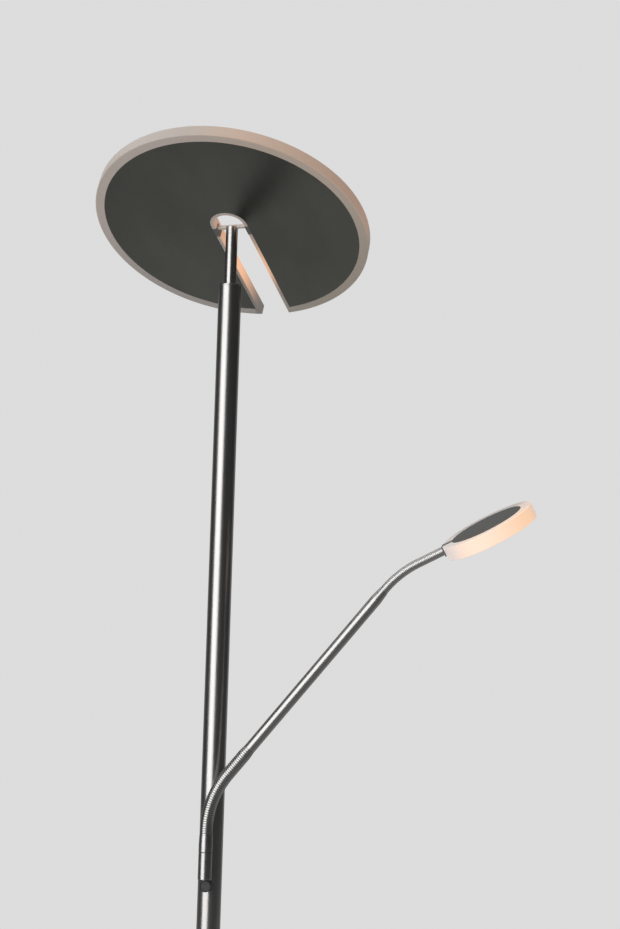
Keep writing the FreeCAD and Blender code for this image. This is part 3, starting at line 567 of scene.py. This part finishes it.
def head_acrylic(name):
    """Frosted acrylic of the big head, lit from inside.

    Map U and V are the plan of the flat head in millimetres, with the slot running along +V. The near
    side of the rim glows softly, the outer wall glows warmer on its right, and the slot's walls and the
    right one of the two strips beside it glow most in their middle. The left strip's colour is darkened
    along its middle as painted shade.
    """
    finish = Finish(name)
    across, lengthwise = finish.surface().parts()[:2]
    grain = finish.noise(finish.place(), 1200.0, 3.0)
    reach = (across * across + lengthwise * lengthwise) ** 0.5
    behind = (0.0 - (lengthwise + HOLE_BEHIND)).maximum(0.0)
    from_slot = (across * across + behind * behind) ** 0.5
    beside_slot = 1.0 - from_slot.rise(SLOT_HALF + SLOT_WALL, SLOT_HALF + SLOT_WALL + 3.0)
    slot_face = 1.0 - from_slot.rise(SLOT_HALF + 0.1, SLOT_HALF + 1.4)
    strip = beside_slot * (1.0 - slot_face)
    right_side = across.rise(-40.0, 90.0)
    right_strip = across.rise(-5.0, 5.0)
    outer_face = reach.rise(HEAD_RADIUS - 1.6, HEAD_RADIUS - 0.4)
    face_middle = lengthwise.rise(-60.0, 62.0) * (1.0 - lengthwise.rise(66.0, 145.0))
    strip_middle = lengthwise.rise(8.0, 60.0) * (1.0 - lengthwise.rise(66.0, 118.0))
    slot_glow = beside_slot * slot_face * face_middle + strip * strip_middle * (right_strip * 0.62 + 0.08)
    near_glow = 1.0 - lengthwise.rise(-70.0, 105.0)
    wall_glow = outer_face * across.rise(-10.0, 70.0) * (1.0 - lengthwise.rise(0.0, 70.0))
    far_light, near_light = (0.012, 0.01, 0.008, 1.0), (0.085, 0.06, 0.05, 1.0)
    wall_light, slot_light = (0.21, 0.115, 0.075, 1.0), (0.74, 0.36, 0.18, 1.0)
    glow = finish.blend(near_glow, far_light, near_light)
    glow = finish.blend(wall_glow, glow, wall_light)
    glow = finish.blend(slot_glow, glow, slot_light)
    left_tone, right_tone = (0.34, 0.312, 0.290, 1.0), (0.335, 0.29, 0.235, 1.0)
    painted_shade_tone, grain_tone = grey(0.03, 0.1), (0.42, 0.38, 0.35, 1.0)
    # Painted shade: the left strip beside the slot is darkened along its middle.
    left_strip_painted_shade = strip * (1.0 - right_strip) * lengthwise.rise(30.0, 70.0) * 0.45
    tone = finish.blend(right_side, left_tone, right_tone)
    tone = finish.blend(left_strip_painted_shade, tone, painted_shade_tone)
    tone = finish.blend(grain * 0.3, tone, grain_tone)
    return finish.surface_shader(
        Base_Color=tone, Roughness=0.42 + grain * 0.1, Emission_Color=glow, Emission_Strength=1.0,
        Normal=finish.bump(grain, 0.1, 0.0001),
    )


def top_acrylic(name):
    """The same acrylic where the light comes straight through the upper face."""
    finish = Finish(name)
    grain = finish.noise(finish.place(), 1200.0, 3.0)
    cloud = finish.noise(finish.place(), 25.0, 2.0)
    glow = finish.blend(cloud, (0.40, 0.31, 0.22, 1.0), (0.44, 0.35, 0.26, 1.0))
    tone = finish.blend(grain, (0.46, 0.43, 0.40, 1.0), (0.52, 0.48, 0.45, 1.0))
    return finish.surface_shader(
        Base_Color=tone, Roughness=0.42 + grain * 0.1, Emission_Color=glow, Emission_Strength=1.0
    )


def reading_acrylic(name):
    """Frosted acrylic of the small head, lit from inside.

    Map U is the share of a turn, a half at the hose and one at the far end, and V the millimetres from
    the middle of the face over its edge and up the wall. The face glows most under the ring of chips.
    The wall glows pinkish white at the hose and orange towards the far end. The strip around the plate
    has the wall's colours dimmed, and is nearly dark on its back half.
    """
    finish = Finish(name)
    around, run = finish.surface().parts()[:2]
    grain = finish.noise(finish.place(), 1500.0, 3.0)
    wall_top = READING_RADIUS + 2 * READING_HALF - 1.5 * READING_EDGE
    strip = run.rise(wall_top + 0.6, wall_top + 2.2)
    from_hose = (around - 0.5).absolute() * 2.0
    hose_light, side_light = (0.42, 0.37, 0.36, 1.0), (0.72, 0.50, 0.35, 1.0)
    orange_light, end_light = (0.76, 0.46, 0.26, 1.0), (0.52, 0.36, 0.29, 1.0)
    wall = finish.blend(from_hose.rise(0.12, 0.4), hose_light, side_light)
    wall = finish.blend(from_hose.rise(0.45, 0.8), wall, orange_light)
    wall = finish.blend(from_hose.rise(0.84, 1.0), wall, end_light)
    back = around.rise(0.0, 0.12) * (1.0 - around.rise(0.36, 0.5))
    face_light, chip_light = (0.50, 0.38, 0.29, 1.0), (0.62, 0.50, 0.40, 1.0)
    back_light = (0.05, 0.05, 0.045, 1.0)
    edge = finish.blend(0.4, wall, grey(0.0))
    edge = finish.blend(back, edge, back_light)
    under_chips = 1.0 - ((run - CHIP_CIRCLE).absolute() * 0.1).rise(0.0, 1.6)
    face = finish.blend(under_chips, face_light, chip_light)
    glow = finish.blend(run.rise(READING_RADIUS - 6.0, READING_RADIUS - 0.5), face, wall)
    glow = finish.blend(strip, glow, edge)
    tone = finish.blend(grain, (0.36, 0.32, 0.30, 1.0), (0.42, 0.38, 0.36, 1.0))
    return finish.surface_shader(
        Base_Color=tone, Roughness=0.4 + grain * 0.1, Emission_Color=glow, Emission_Strength=1.0,
    )


pole_steel = brushed_steel("satin_nickel_pole", STEEL, 0.02, 260.0)
small_steel = brushed_steel("satin_nickel_turned", STEEL, 1.6, 8.0)
tube_steel = brushed_steel("satin_nickel_arm", STEEL, 0.05, 160.0)
base_steel = brushed_steel("satin_nickel_base", STEEL, 1.2, 14.0, 0.36, 1.0)
lower_hose_steel = hose_steel("wound_steel_lower", STEEL, LOWER_PITCH, 0.5, 0.24)
upper_hose_steel = hose_steel("wound_steel_upper", STEEL * 1.25, UPPER_PITCH, 0.7, 0.32)
# The plates' steel is painted near black, as a painted dark reflection.
underside_painted_dark = plate_painted_dark("satin_underside_painted_dark", 0.14, 0.8)
reading_plate_painted_dark = plate_painted_dark("satin_reading_plate_painted_dark", 0.14, 0.4)
lug_steel = plain_metal("dark_lug_steel", 0.23, 0.4, warmth=0.06)
bar_steel = plain_metal("pale_satin_bar", 0.5, 0.5, 0.35, warmth=0.08)
# The knobs' front faces are painted near black: painted shade on the steel.
knob_front_painted_shade = plain_metal("steel_knob_front_painted_shade", 0.06, 0.45)
zinc = plain_metal("zinc_plated_steel", 0.5, 0.35, warmth=0.01)
cast_iron = plain_metal("cast_iron", 0.10, 0.7, 0.6, grain=420.0)
board_metal = plain_metal("white_board", 0.75, 0.5, 0.0)
matt_black = soft_plastic("matt_black_plastic", (0.014, 0.014, 0.015))
grommet_rubber = soft_plastic("grommet_rubber", (0.018, 0.018, 0.018), 0.7, 900.0)
lead_sheath = soft_plastic("lead_sheath", (0.05, 0.05, 0.05), 0.5)
phosphor = soft_plastic("chip_phosphor", (0.85, 0.62, 0.18), 0.35)
pad_felt = felt("needled_felt")
head_glow = head_acrylic("lit_frosted_acrylic")
top_glow = top_acrylic("lit_acrylic_top")
reading_glow = reading_acrylic("lit_reading_acrylic")

# The inner pieces keep their construction shapes and get their finishes
INNER_FINISHES = {
    zinc: "threaded_tube tube_nut tube_washer foot_insert pole_joiner base_screws stem_grub_screw "
          "tilt_friction_screws lug_screws board_screws reading_screws arm_stub stub_nut swivel_pin "
          "hose_coupling hose_screw shaft_reading shaft_main bottom_plate",
    lug_steel: "arm_spacer",
    cast_iron: "base_weight",
    pad_felt: "floor_pad",
    matt_black: "driver thrust_washer dimmer_reading dimmer_main",
    lead_sheath: "pole_lead stem_lead head_leads arm_lead",
    board_metal: "led_board reading_board",
    phosphor: "led_chips reading_chips",
}
for finish, names in INNER_FINISHES.items():
    for name in names.split():
        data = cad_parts[name].data
        data.materials.clear()
        data.materials.append(finish)


# Base and pole

def spun_piece(name, profile, place, finish, body, stands_for, slot="satin_steel", sides=96, **extra):
    """A turned piece: its profile spun, carried to its place and written."""
    points, faces, uv = spun(profile, sides)
    return write_piece(name, place(points), faces, uv, finish, body, stands_for, slot, **extra)


def as_drawn(points):
    """Pieces that stand on the pole's axis."""
    return points


base_profile = rounded([
    (COVER_HOLE, COVER_TOP, 0),
    (BASE_RADIUS, COVER_TOP, COVER_EDGE),
    (BASE_RADIUS, COVER_BOTTOM, 0.3),
    (BASE_RADIUS - COVER_WALL, COVER_BOTTOM, 0.3),
    (BASE_RADIUS - COVER_WALL, COVER_TOP - COVER_WALL, COVER_EDGE - COVER_WALL),
    (COVER_HOLE, COVER_TOP - COVER_WALL, 0.0),
    (COVER_HOLE, COVER_TOP, 0),
], 10)
spun_piece("base_shell", base_profile, as_drawn, base_steel, "pole", ["base_cover"], sides=192)
for name, node, bottom, top in (
    ("pole_lower_tube", "pole_lower", COVER_TOP, POLE_SPLIT),
    ("pole_upper_tube", "pole_upper", POLE_SPLIT, POLE_TOP - CAP_THICKNESS),
):
    pole_profile = tube_profile(POLE_RADIUS, POLE_RADIUS - POLE_WALL, bottom, top)
    spun_piece(name, pole_profile, as_drawn, pole_steel, "pole", [node], sides=128)
cap_profile = rounded([
    (POLE_RADIUS, POLE_TOP - CAP_THICKNESS / 2, 0),
    (POLE_RADIUS, POLE_TOP, 0.5),
    (STEM_RADIUS + RUNNING_GAP, POLE_TOP, 0.2),
    (STEM_RADIUS + RUNNING_GAP, POLE_TOP - BUSH_DEPTH, 0),
    (POLE_RADIUS - POLE_WALL - FIT_GAP, POLE_TOP - BUSH_DEPTH, 0.3),
    (POLE_RADIUS - POLE_WALL - FIT_GAP, POLE_TOP - CAP_THICKNESS, 0),
    (POLE_RADIUS, POLE_TOP - CAP_THICKNESS, 0.1),
    (POLE_RADIUS, POLE_TOP - CAP_THICKNESS / 2, 0),
])
spun_piece("pole_top_cap", cap_profile, as_drawn, small_steel, "pole", ["top_bush"])


def facing_back(points):
    """A piece spun about Z laid along +Y at the cord inlet's height."""
    return placed(points, turn_about((1, 0, 0), -90), (0, BASE_RADIUS, INLET_HEIGHT))


grommet_seam = -3.0
grommet_profile = rounded([
    (INLET_BODY, grommet_seam, 0),
    (INLET_BODY, 0.0, 0),
    (INLET_FLANGE, 0.0, 0.3),
    (INLET_FLANGE, FLANGE_THICKNESS, 0.6),
    (INLET_BORE, FLANGE_THICKNESS, 0.4),
    (INLET_BORE, FLANGE_THICKNESS - INLET_LENGTH, 0.2),
    (INLET_BODY, FLANGE_THICKNESS - INLET_LENGTH, 0.2),
    (INLET_BODY, grommet_seam, 0),
], 5)
spun_piece(
    "inlet_grommet", grommet_profile, facing_back, grommet_rubber, "pole", ["cord_inlet"],
    slot="rubber_grommet", sides=48,
)


# Dimmer knobs

def laid_at(height):
    """How a knob spun about Z is laid along -Y at its height."""
    return lambda points: placed(points, turn_about((1, 0, 0), 90), (0, -KNOB_START, height))


knob_profile = rounded([
    (0.0, KNOB_LENGTH - KNOB_DISH, 0),
    (KNOB_RADIUS - KNOB_LIP - 0.4, KNOB_LENGTH - KNOB_DISH, 0.3),
    (KNOB_RADIUS - KNOB_LIP, KNOB_LENGTH, 0.2),
    (KNOB_RADIUS, KNOB_LENGTH, 0.5),
    (KNOB_RADIUS, 0.0, 0.3),
    (KNOB_BORE, 0.0, 0.2),
    (KNOB_BORE, KNOB_LENGTH - KNOB_FRONT, 0),
    (0.0, KNOB_LENGTH - KNOB_FRONT, 0),
], 5)
for name, node, body, height in (
    ("dimmer_knob_reading", "knob_reading", "reading_knob", KNOB_HEIGHTS[0]),
    ("dimmer_knob_main", "knob_main", "main_knob", KNOB_HEIGHTS[1]),
):
    knob = spun_piece(name, knob_profile, laid_at(height), small_steel, body, [node], sides=72)
    # The front face takes the painted shade.
    knob.data.materials.append(knob_front_painted_shade)
    centres = np.empty(len(knob.data.polygons) * 3)
    knob.data.polygons.foreach_get("center", centres)
    front = centres[1::3] / METRES < -KNOB_START - KNOB_LENGTH + KNOB_LIP
    knob.data.polygons.foreach_set("material_index", front.astype(np.int32))


# Arm: block, sleeve, hoses and tube

def on_block(points):
    """Pieces on the swivel's axis."""
    return placed(points, None, (0, -ARM_OFFSET, 0))


block_profile = rounded([
    (0.0, BLOCK_BOTTOM, 0),
    (BLOCK_RADIUS, BLOCK_BOTTOM, 0.6),
    (BLOCK_RADIUS, BLOCK_TOP, 0.25),
    (PIN_RADIUS + RUNNING_GAP, BLOCK_TOP, 0.1),
    (PIN_RADIUS + RUNNING_GAP, BLOCK_TOP - PIN_DEPTH, 0.1),
    (0.0, BLOCK_TOP - PIN_DEPTH, 0),
], 6)
spun_piece("block_body", block_profile, on_block, small_steel, "pole", ["arm_block"])
seam_profile = rounded([
    (SEAM_RADIUS, (BLOCK_TOP + SEAM_TOP) / 2, 0),
    (SEAM_RADIUS, SEAM_TOP, 0.1),
    (PIN_RADIUS + RUNNING_GAP, SEAM_TOP, 0),
    (PIN_RADIUS + RUNNING_GAP, BLOCK_TOP, 0),
    (SEAM_RADIUS, BLOCK_TOP, 0.1),
    (SEAM_RADIUS, (BLOCK_TOP + SEAM_TOP) / 2, 0),
], 3)
spun_piece(
    "seam_ring", seam_profile, on_block, matt_black, "pole", ["seam_washer"], slot="dark_plastic", sides=64
)
sleeve_profile = rounded([
    (SLEEVE_RADIUS, (SLEEVE_BOTTOM + SLEEVE_TOP) / 2, 0),
    (SLEEVE_MOUTH, SLEEVE_TOP, 0.06),
    (LOWER_RADIUS + FIT_GAP, SLEEVE_TOP, 0.1),
    (LOWER_RADIUS + FIT_GAP, HOSE_SEAT, 0),
    (LEAD_HOLE, HOSE_SEAT, 0),
    (LEAD_HOLE, PIN_TOP, 0),
    (PIN_RADIUS + FIT_GAP, PIN_TOP, 0),
    (PIN_RADIUS + FIT_GAP, SLEEVE_BOTTOM, 0.1),
    (SLEEVE_RADIUS, SLEEVE_BOTTOM, 0.25),
    (SLEEVE_RADIUS, (SLEEVE_BOTTOM + SLEEVE_TOP) / 2, 0),
], 5)
spun_piece("sleeve_body", sleeve_profile, on_block, small_steel, "arm_foot", ["hose_sleeve"])


def wound_hose(start, length, radius, pitch, depth, end_radius, sides=40, steps=10):
    """Points, faces and UV of a wound hose along the arm's centre line.

    At distance s and angle a the phase is s over the pitch less a's share of a turn. The radius is the
    hose's radius less the depth times the eighth power of twice the phase's distance from its middle, so
    that crests are broad and grooves narrow. Along the taper at the far end the radius runs evenly to
    the end radius. Near both ends the winding fades into a plain ring, and a flat disc closes each end.
    """
    rows = int(round(length / pitch)) * steps
    distance = np.linspace(0.0, length, rows + 1)[:, None]
    angle = np.linspace(0.0, 2 * np.pi, sides + 1)[None]
    phase = (distance / pitch - angle / (2 * np.pi)) % 1.0
    fade = np.clip(np.minimum(distance, length - distance) / pitch, 0.0, 1.0)
    taper = np.clip((distance - length) / HOSE_TAPER + 1.0, 0.0, 1.0)
    groove = (np.abs(2 * phase - 1) ** 8) * fade + (1 - fade) / 3
    grooved = radius + (end_radius - radius) * taper - depth * groove
    centre, across, sideways, along = (part[:, None] for part in arm_frames(start + distance[:, 0]))
    points = centre + grooved[..., None] * (
        np.cos(angle)[..., None] * sideways + np.sin(angle)[..., None] * across
    )
    first, last = (np.broadcast_to(end, points[:1].shape) for end in (centre[:1], centre[-1:]))
    points = np.concatenate([first, points, last])
    run = np.r_[0.0, distance[:, 0], length][:, None]
    uv = np.stack(np.broadcast_arrays(angle / (2 * np.pi), run), -1).reshape(-1, 2)
    return points.reshape(-1, 3), grid_faces(rows + 3, sides + 1), uv


def arm_point(distance):
    """A point of the centre line in metres."""
    return tuple(arm_frames(distance)[0] * METRES)


points, faces, uv = wound_hose(
    0.0, LOWER_LENGTH, LOWER_RADIUS, LOWER_PITCH, LOWER_DEPTH, TUBE_RADIUS + 0.1
)
write_piece(
    "lower_hose", points, faces, uv, lower_hose_steel,
    ("arm_foot", "arm", arm_point(SLEEVE_HOLD), arm_point(LOWER_LENGTH - TUBE_HOLD)),
    ["gooseneck_lower"], "satin_steel", weighted=False,
)
points, faces, uv = wound_hose(
    UPPER_START, ARM_LENGTH - UPPER_START, UPPER_RADIUS, UPPER_PITCH, UPPER_DEPTH, UPPER_RADIUS, 36
)
write_piece(
    "upper_hose", points, faces, uv, upper_hose_steel,
    ("arm", "reading_head", arm_point(UPPER_START + UPPER_SEAT), arm_point(ARM_LENGTH - TAB_HOLD)),
    ["gooseneck_upper"], "satin_steel", weighted=False,
)
tube_outline = rounded([
    (TUBE_RADIUS, TUBE_LENGTH / 2, 0),
    (TUBE_RADIUS, TUBE_LENGTH - TUBE_NOSE, 8.0),
    (UPPER_RADIUS + 0.3, TUBE_LENGTH, 0.15),
    (UPPER_RADIUS + RUNNING_GAP, TUBE_LENGTH, 0.05),
    (TUBE_RADIUS - TUBE_WALL, TUBE_LENGTH - TUBE_LIP, 0),
    (TUBE_RADIUS - TUBE_WALL, 0.0, 0),
    (TUBE_RADIUS, 0.0, 0.3),
    (TUBE_RADIUS, TUBE_LENGTH / 2, 0),
])
spun_piece(
    "rigid_tube", tube_outline, lambda points: on_arm(points, LOWER_LENGTH), tube_steel,
    "arm", ["arm_tube"], sides=72,
)

# Reading head
plate_radius = READING_RADIUS - READING_RIM - PLATE_GAP
plate_profile = rounded([
    (0.0, READING_HALF, 0),
    (plate_radius, READING_HALF, 0.3),
    (plate_radius, READING_HALF - READING_PLATE, 0),
    (0.0, READING_HALF - READING_PLATE, 0),
], 4)
points, faces, uv = spun(plate_profile, 144)
write_piece(
    "reading_back_plate", on_reading_head(points), faces, points[:, :2], reading_plate_painted_dark,
    "reading_head", ["reading_plate"], "plate_steel",
)


def bent_strip(width, path, thickness):
    """Points, faces and UV of a flat strip bent along a path in the upright plane.

    The outer line is the path, and the inner line is the path moved in by the thickness along its
    normal. The section is the rectangle between the two lines and the strip's two sides.
    """
    path = np.asarray(path, float)
    run = np.gradient(path, axis=0)
    run /= np.linalg.norm(run, axis=1)[:, None]
    inward = np.stack([run[:, 1], -run[:, 0]], -1)
    inner = path - inward * thickness
    half = width / 2
    ring = [(path, -half), (path, half), (inner, half), (inner, -half), (path, -half)]
    points = np.stack([np.c_[line[:, 0], np.full(len(line), side), line[:, 1]] for line, side in ring], 1)
    ends = points[[0, -1]].mean(1, keepdims=True).repeat(5, 1)
    points = np.concatenate([ends[:1], points, ends[1:]])
    uv = points[..., :2].reshape(-1, 2)
    return points.reshape(-1, 3), grid_faces(len(path) + 2, 5), uv


tab_outer = READING_RADIUS + READING_PLATE
tab_path = rounded([
    (-plate_radius, READING_HALF, 0),
    (-tab_outer, READING_HALF, 1.6),
    (-tab_outer, READING_HALF - TAB_LENGTH, 0),
], 8)
points, faces, uv = bent_strip(TAB_WIDTH, tab_path, READING_PLATE)
write_piece(
    "reading_tab", on_reading_head(points), faces, uv, small_steel, "reading_head", (), "plate_steel"
)
rim_profile = rounded([
    (0.0, -READING_HALF, 0),
    (READING_RADIUS, -READING_HALF, READING_EDGE),
    (READING_RADIUS, READING_HALF, READING_EDGE),
    (READING_RADIUS - READING_RIM, READING_HALF, 0.2),
    (READING_RADIUS - READING_RIM, -READING_HALF + HEAD_SKIN, 0.5),
    (0.0, -READING_HALF + HEAD_SKIN, 0),
], 6)
tab_gap = READING_PLATE + PLATE_GAP
half_tab = TAB_WIDTH / 2 + PLATE_GAP
tab_room = box_corners(
    (-READING_RADIUS - 2 * CUT_PAST, -plate_radius + 3 * CUT_PAST),
    (-half_tab, half_tab),
    (READING_HALF - tab_gap, READING_HALF + CUT_PAST),
)
spun_piece(
    "reading_rim", rim_profile, on_reading_head, reading_glow, "reading_head", ["reading_diffuser"],
    slot="frosted_acrylic", sides=192, cuts=[on_reading_head(tab_room)],
)

# Stem
stem_profile = tube_profile(STEM_RADIUS, STEM_RADIUS - STEM_WALL, STEM_BOTTOM, STEM_TOP, 0.2)
spun_piece("stem_tube", stem_profile, as_drawn, small_steel, "stem", ["stem"], sides=80)
plug_radius, plug_top = STEM_RADIUS - STEM_WALL - FIT_GAP, STEM_TOP - HUB_HEIGHT
hinge_profile = rounded([
    (0.0, 0.0, 0),
    (STEM_RADIUS, 0.0, 0.5),
    (STEM_RADIUS, plug_top, 0.2),
    (plug_radius, plug_top, 0),
    (plug_radius, plug_top - PLUG_DEPTH, 0),
    (0.0, plug_top - PLUG_DEPTH, 0),
], 8)
spun_piece("stem_hinge", hinge_profile, on_stem, small_steel, "stem", ["stem_head"], sides=80)
bar_profile = rounded([
    (0.0, AXLE_HALF, 0),
    (AXLE_RADIUS, AXLE_HALF, 0.2),
    (AXLE_RADIUS, -AXLE_HALF, 0.2),
    (0.0, -AXLE_HALF, 0),
], 3)
spun_piece(
    "cross_bar", bar_profile, lambda points: on_stem(placed(points, turn_about((0, 1, 0), 90))),
    bar_steel, "stem", ["tilt_axle"], sides=48,
)


# Slotted head

def keyhole_outline(outer, half, arc_points=481, wall_points=25, end_points=65):
    """Plan of the disc with its slot, as a closed line.

    It runs round the disc's arc between the slot's corners, down one wall of the slot, round the half
    circle that ends the slot behind the hinge, and back up the other wall.
    """
    corner = math.sqrt(outer ** 2 - half ** 2)
    gap = math.asin(half / outer)
    arc = np.linspace(np.pi / 2 + gap, 2.5 * np.pi - gap, arc_points)
    wall = np.linspace(corner, -HOLE_BEHIND, wall_points)[1:]
    bottom = np.linspace(0.0, -np.pi, end_points)[1:]
    return np.concatenate([
        np.stack([outer * np.cos(arc), outer * np.sin(arc)], -1),
        np.stack([np.full_like(wall, half), wall], -1),
        np.stack([half * np.cos(bottom), half * np.sin(bottom) - HOLE_BEHIND], -1),
        np.stack([np.full_like(wall, -half), wall[::-1]], -1)[1:],
    ])


def stacked(rings, heights):
    """Points and faces of closed lines at their heights, joined by quads, with a flat face on each end."""
    size = len(rings[0])
    points = np.concatenate([np.c_[ring, np.full(size, height)] for ring, height in zip(rings, heights)])
    level, index = np.meshgrid(np.arange(len(rings) - 1), np.arange(size), indexing="ij")
    first = (level * size + index).ravel()
    beside = (level * size + (index + 1) % size).ravel()
    faces = np.stack([first, beside, beside + size, first + size], -1).tolist()
    faces.append(list(range(size))[::-1])
    faces.append(list(range((len(rings) - 1) * size, len(rings) * size)))
    return points, faces


def eased_edge(face, inward):
    """The head's outline along the quarter round of one edge, as outlines and their heights.

    At angle a the outline is moved into the acrylic by the edge's radius times one less the sine of a,
    and its height is the face's, moved inward by the radius times one less the cosine of a.
    """
    angle = np.linspace(0.0, np.pi / 2, 7)
    insets, depths = HEAD_EDGE * (1 - np.sin(angle)), HEAD_EDGE * (1 - np.cos(angle))
    rings = [keyhole_outline(HEAD_RADIUS - inset, SLOT_HALF + inset) for inset in insets]
    return rings, (face + inward * depths).tolist()


cavity = keyhole_outline(HEAD_RADIUS - HEAD_RIM, SLOT_HALF + SLOT_WALL)
lower_rings, lower_heights = eased_edge(HEAD_BOTTOM, 1)
upper_rings, upper_heights = eased_edge(HEAD_TOP, -1)
points, faces = stacked(
    [cavity, cavity] + lower_rings + upper_rings[::-1],
    [HEAD_TOP - HEAD_SKIN, HEAD_BOTTOM] + lower_heights + upper_heights[::-1],
)
lug_depth = (LUG_BACK - PLATE_GAP, LUG_FRONT + PLATE_GAP)
lug_rise = (HEAD_BOTTOM - CUT_PAST, LUG_TOP + PLATE_GAP)
lug_rooms = [
    on_head(box_corners(span, lug_depth, lug_rise))
    for span in ((0.0, LUG_OUTER + LUG_ROOM), (-LUG_OUTER - LUG_ROOM, 0.0))
]
diffuser = write_piece(
    "disc_diffuser", on_head(points), faces, points[:, :2], head_glow, "head", ["head_diffuser"],
    "frosted_acrylic", cuts=lug_rooms,
)
diffuser.data.materials.append(top_glow)
up = np.array(on_head([(0, 0, 1)])[0]) - np.array(on_head([(0, 0, 0)])[0])
normals = np.empty(len(diffuser.data.polygons) * 3)
diffuser.data.polygons.foreach_get("normal", normals)
upward = (normals.reshape(-1, 3) @ up > 0.9).astype(np.int32)
diffuser.data.polygons.foreach_set("material_index", upward)

plate_line = keyhole_outline(HEAD_RADIUS - HEAD_RIM - PLATE_GAP, SLOT_HALF + SLOT_WALL + PLATE_GAP)
points, faces = stacked([plate_line, plate_line], [HEAD_BOTTOM, PLATE_TOP])
write_piece(
    "disc_plate", on_head(points), faces, points[:, :2], underside_painted_dark, "head", ["head_plate"],
    "plate_steel",
)


def lug_plan(outer, side):
    """Plan of a lug from its inner face out to a distance, on the right or left of the bar."""
    depths = (LUG_BACK, LUG_BACK, LUG_FRONT, LUG_FRONT)
    return np.stack([side * np.array([LUG_INNER, outer, outer, LUG_INNER]), depths], -1)


foot_step = 0.001
for name, node, side in (("lug_left", "hinge_lug_left", -1), ("lug_right", "hinge_lug_right", 1)):
    nose, foot = lug_plan(LUG_NOSE, side), lug_plan(LUG_OUTER, side)
    points, faces = stacked(
        [nose, nose, foot, foot], [HEAD_BOTTOM, PLATE_TOP, PLATE_TOP + foot_step, LUG_TOP]
    )
    lug = write_piece(
        name, on_head(points), faces, points[:, :2], lug_steel, "head", [node], "satin_steel",
        weighted=False,
    )
    ease = lug.modifiers.new("ease", "BEVEL")
    ease.width, ease.segments, ease.limit_method = LUG_EASE * METRES, 2, "ANGLE"


# Floor, light and camera

camera_turn = (
    turn_about((0, 0, 1), CAMERA_AZIMUTH)
    @ turn_about((1, 0, 0), 90.0 + CAMERA_RISE)
    @ turn_about((0, 0, 1), CAMERA_ROLL)
)
camera_data = bpy.data.cameras.new("camera")
camera_data.sensor_width = SENSOR
camera_data.lens = FOCAL_PIXELS / PHOTO_HEIGHT * SENSOR
camera_data.clip_start, camera_data.clip_end = 0.05, 200.0
camera = bpy.data.objects.new("camera", camera_data)
camera.matrix_world = Matrix.Translation(CAMERA_PLACE) @ Matrix(camera_turn.tolist()).to_4x4()
bpy.context.scene.collection.objects.link(camera)
bpy.context.scene.camera = camera

floor_mesh = bpy.data.meshes.new("floor")
floor_angle = np.linspace(0, 2 * np.pi, FLOOR_SIDES + 1)[:-1]
floor_edge = FLOOR_RADIUS * np.c_[np.cos(floor_angle), np.sin(floor_angle), 0 * floor_angle]
floor_mesh.from_pydata(floor_edge.tolist(), [], [list(range(FLOOR_SIDES))])
floor = bpy.data.objects.new("floor", floor_mesh)
bpy.context.scene.collection.objects.link(floor)
floor_finish = Finish("pale_floor")
floor_tone = floor_finish.noise(floor_finish.place(), 3.0, 3.0)
in_steel, looked_on = floor_finish.rays("Glossy", "Camera")
floor_behind = floor_finish.place().parts()[1]
pale_floor = floor_finish.blend(floor_tone, grey(0.70), grey(0.74))
dim_floor = in_steel * (1.0 - floor_behind.rise(-0.5, 2.0))
floor_mesh.materials.append(floor_finish.surface_shader(
    Base_Color=floor_finish.blend(dim_floor, pale_floor, grey(0.22)), Roughness=0.8,
    Emission_Color=floor_finish.blend(looked_on, grey(0.0), grey(0.14)), Emission_Strength=1.0,
))


def soft_box(name, place, target, width, height, power):
    """An area lamp at a place, facing a target, both in metres."""
    data = bpy.data.lights.new(name, "AREA")
    data.shape, data.size, data.size_y, data.energy = "RECTANGLE", width, height, power
    lamp = bpy.data.objects.new(name, data)
    lamp.location = place
    lamp.rotation_euler = (Vector(target) - Vector(place)).to_track_quat("-Z", "Y").to_euler()
    bpy.context.scene.collection.objects.link(lamp)
    return lamp


soft_box("key_box", (-1.25, -2.5, 1.75), (0, 0, 1.4), width=2.8, height=2.7, power=55)
soft_box("top_box", (-0.6, 0.4, 3.6), (0, 0, 1.0), width=3.2, height=3.2, power=34)

# The world: pale where looked at, a dark room with a pale wall and ceiling where mirrored, else even
world = bpy.data.worlds.new("studio")
bpy.context.scene.world = world
room = Finish(world, "ShaderNodeOutputWorld")
looked_at, in_gloss, through = room.rays("Camera", "Glossy", "Transmission")
heading = room.add("ShaderNodeTexCoord", {}, {}, "Generated")
to_wall = room.add("ShaderNodeVectorMath", {"operation": "DOT_PRODUCT"}, {0: heading, 1: WALL_WAY}, "Value")
overhead = heading.parts()[2].rise(0.55, 0.9)
pale_side = to_wall.rise(0.45, 0.92).maximum(overhead * 0.7)
mirrored_room = room.blend(pale_side, grey(DARK_ROOM), grey(BACKDROP))
lit = room.blend(in_gloss.maximum(through), grey(ROOM_LIGHT), mirrored_room)
lit = room.blend(looked_at, lit, grey(BACKDROP))
room.shows("ShaderNodeBackground", {"Color": lit, "Strength": 1.0})

bpy.context.scene.view_settings.view_transform = "Standard"
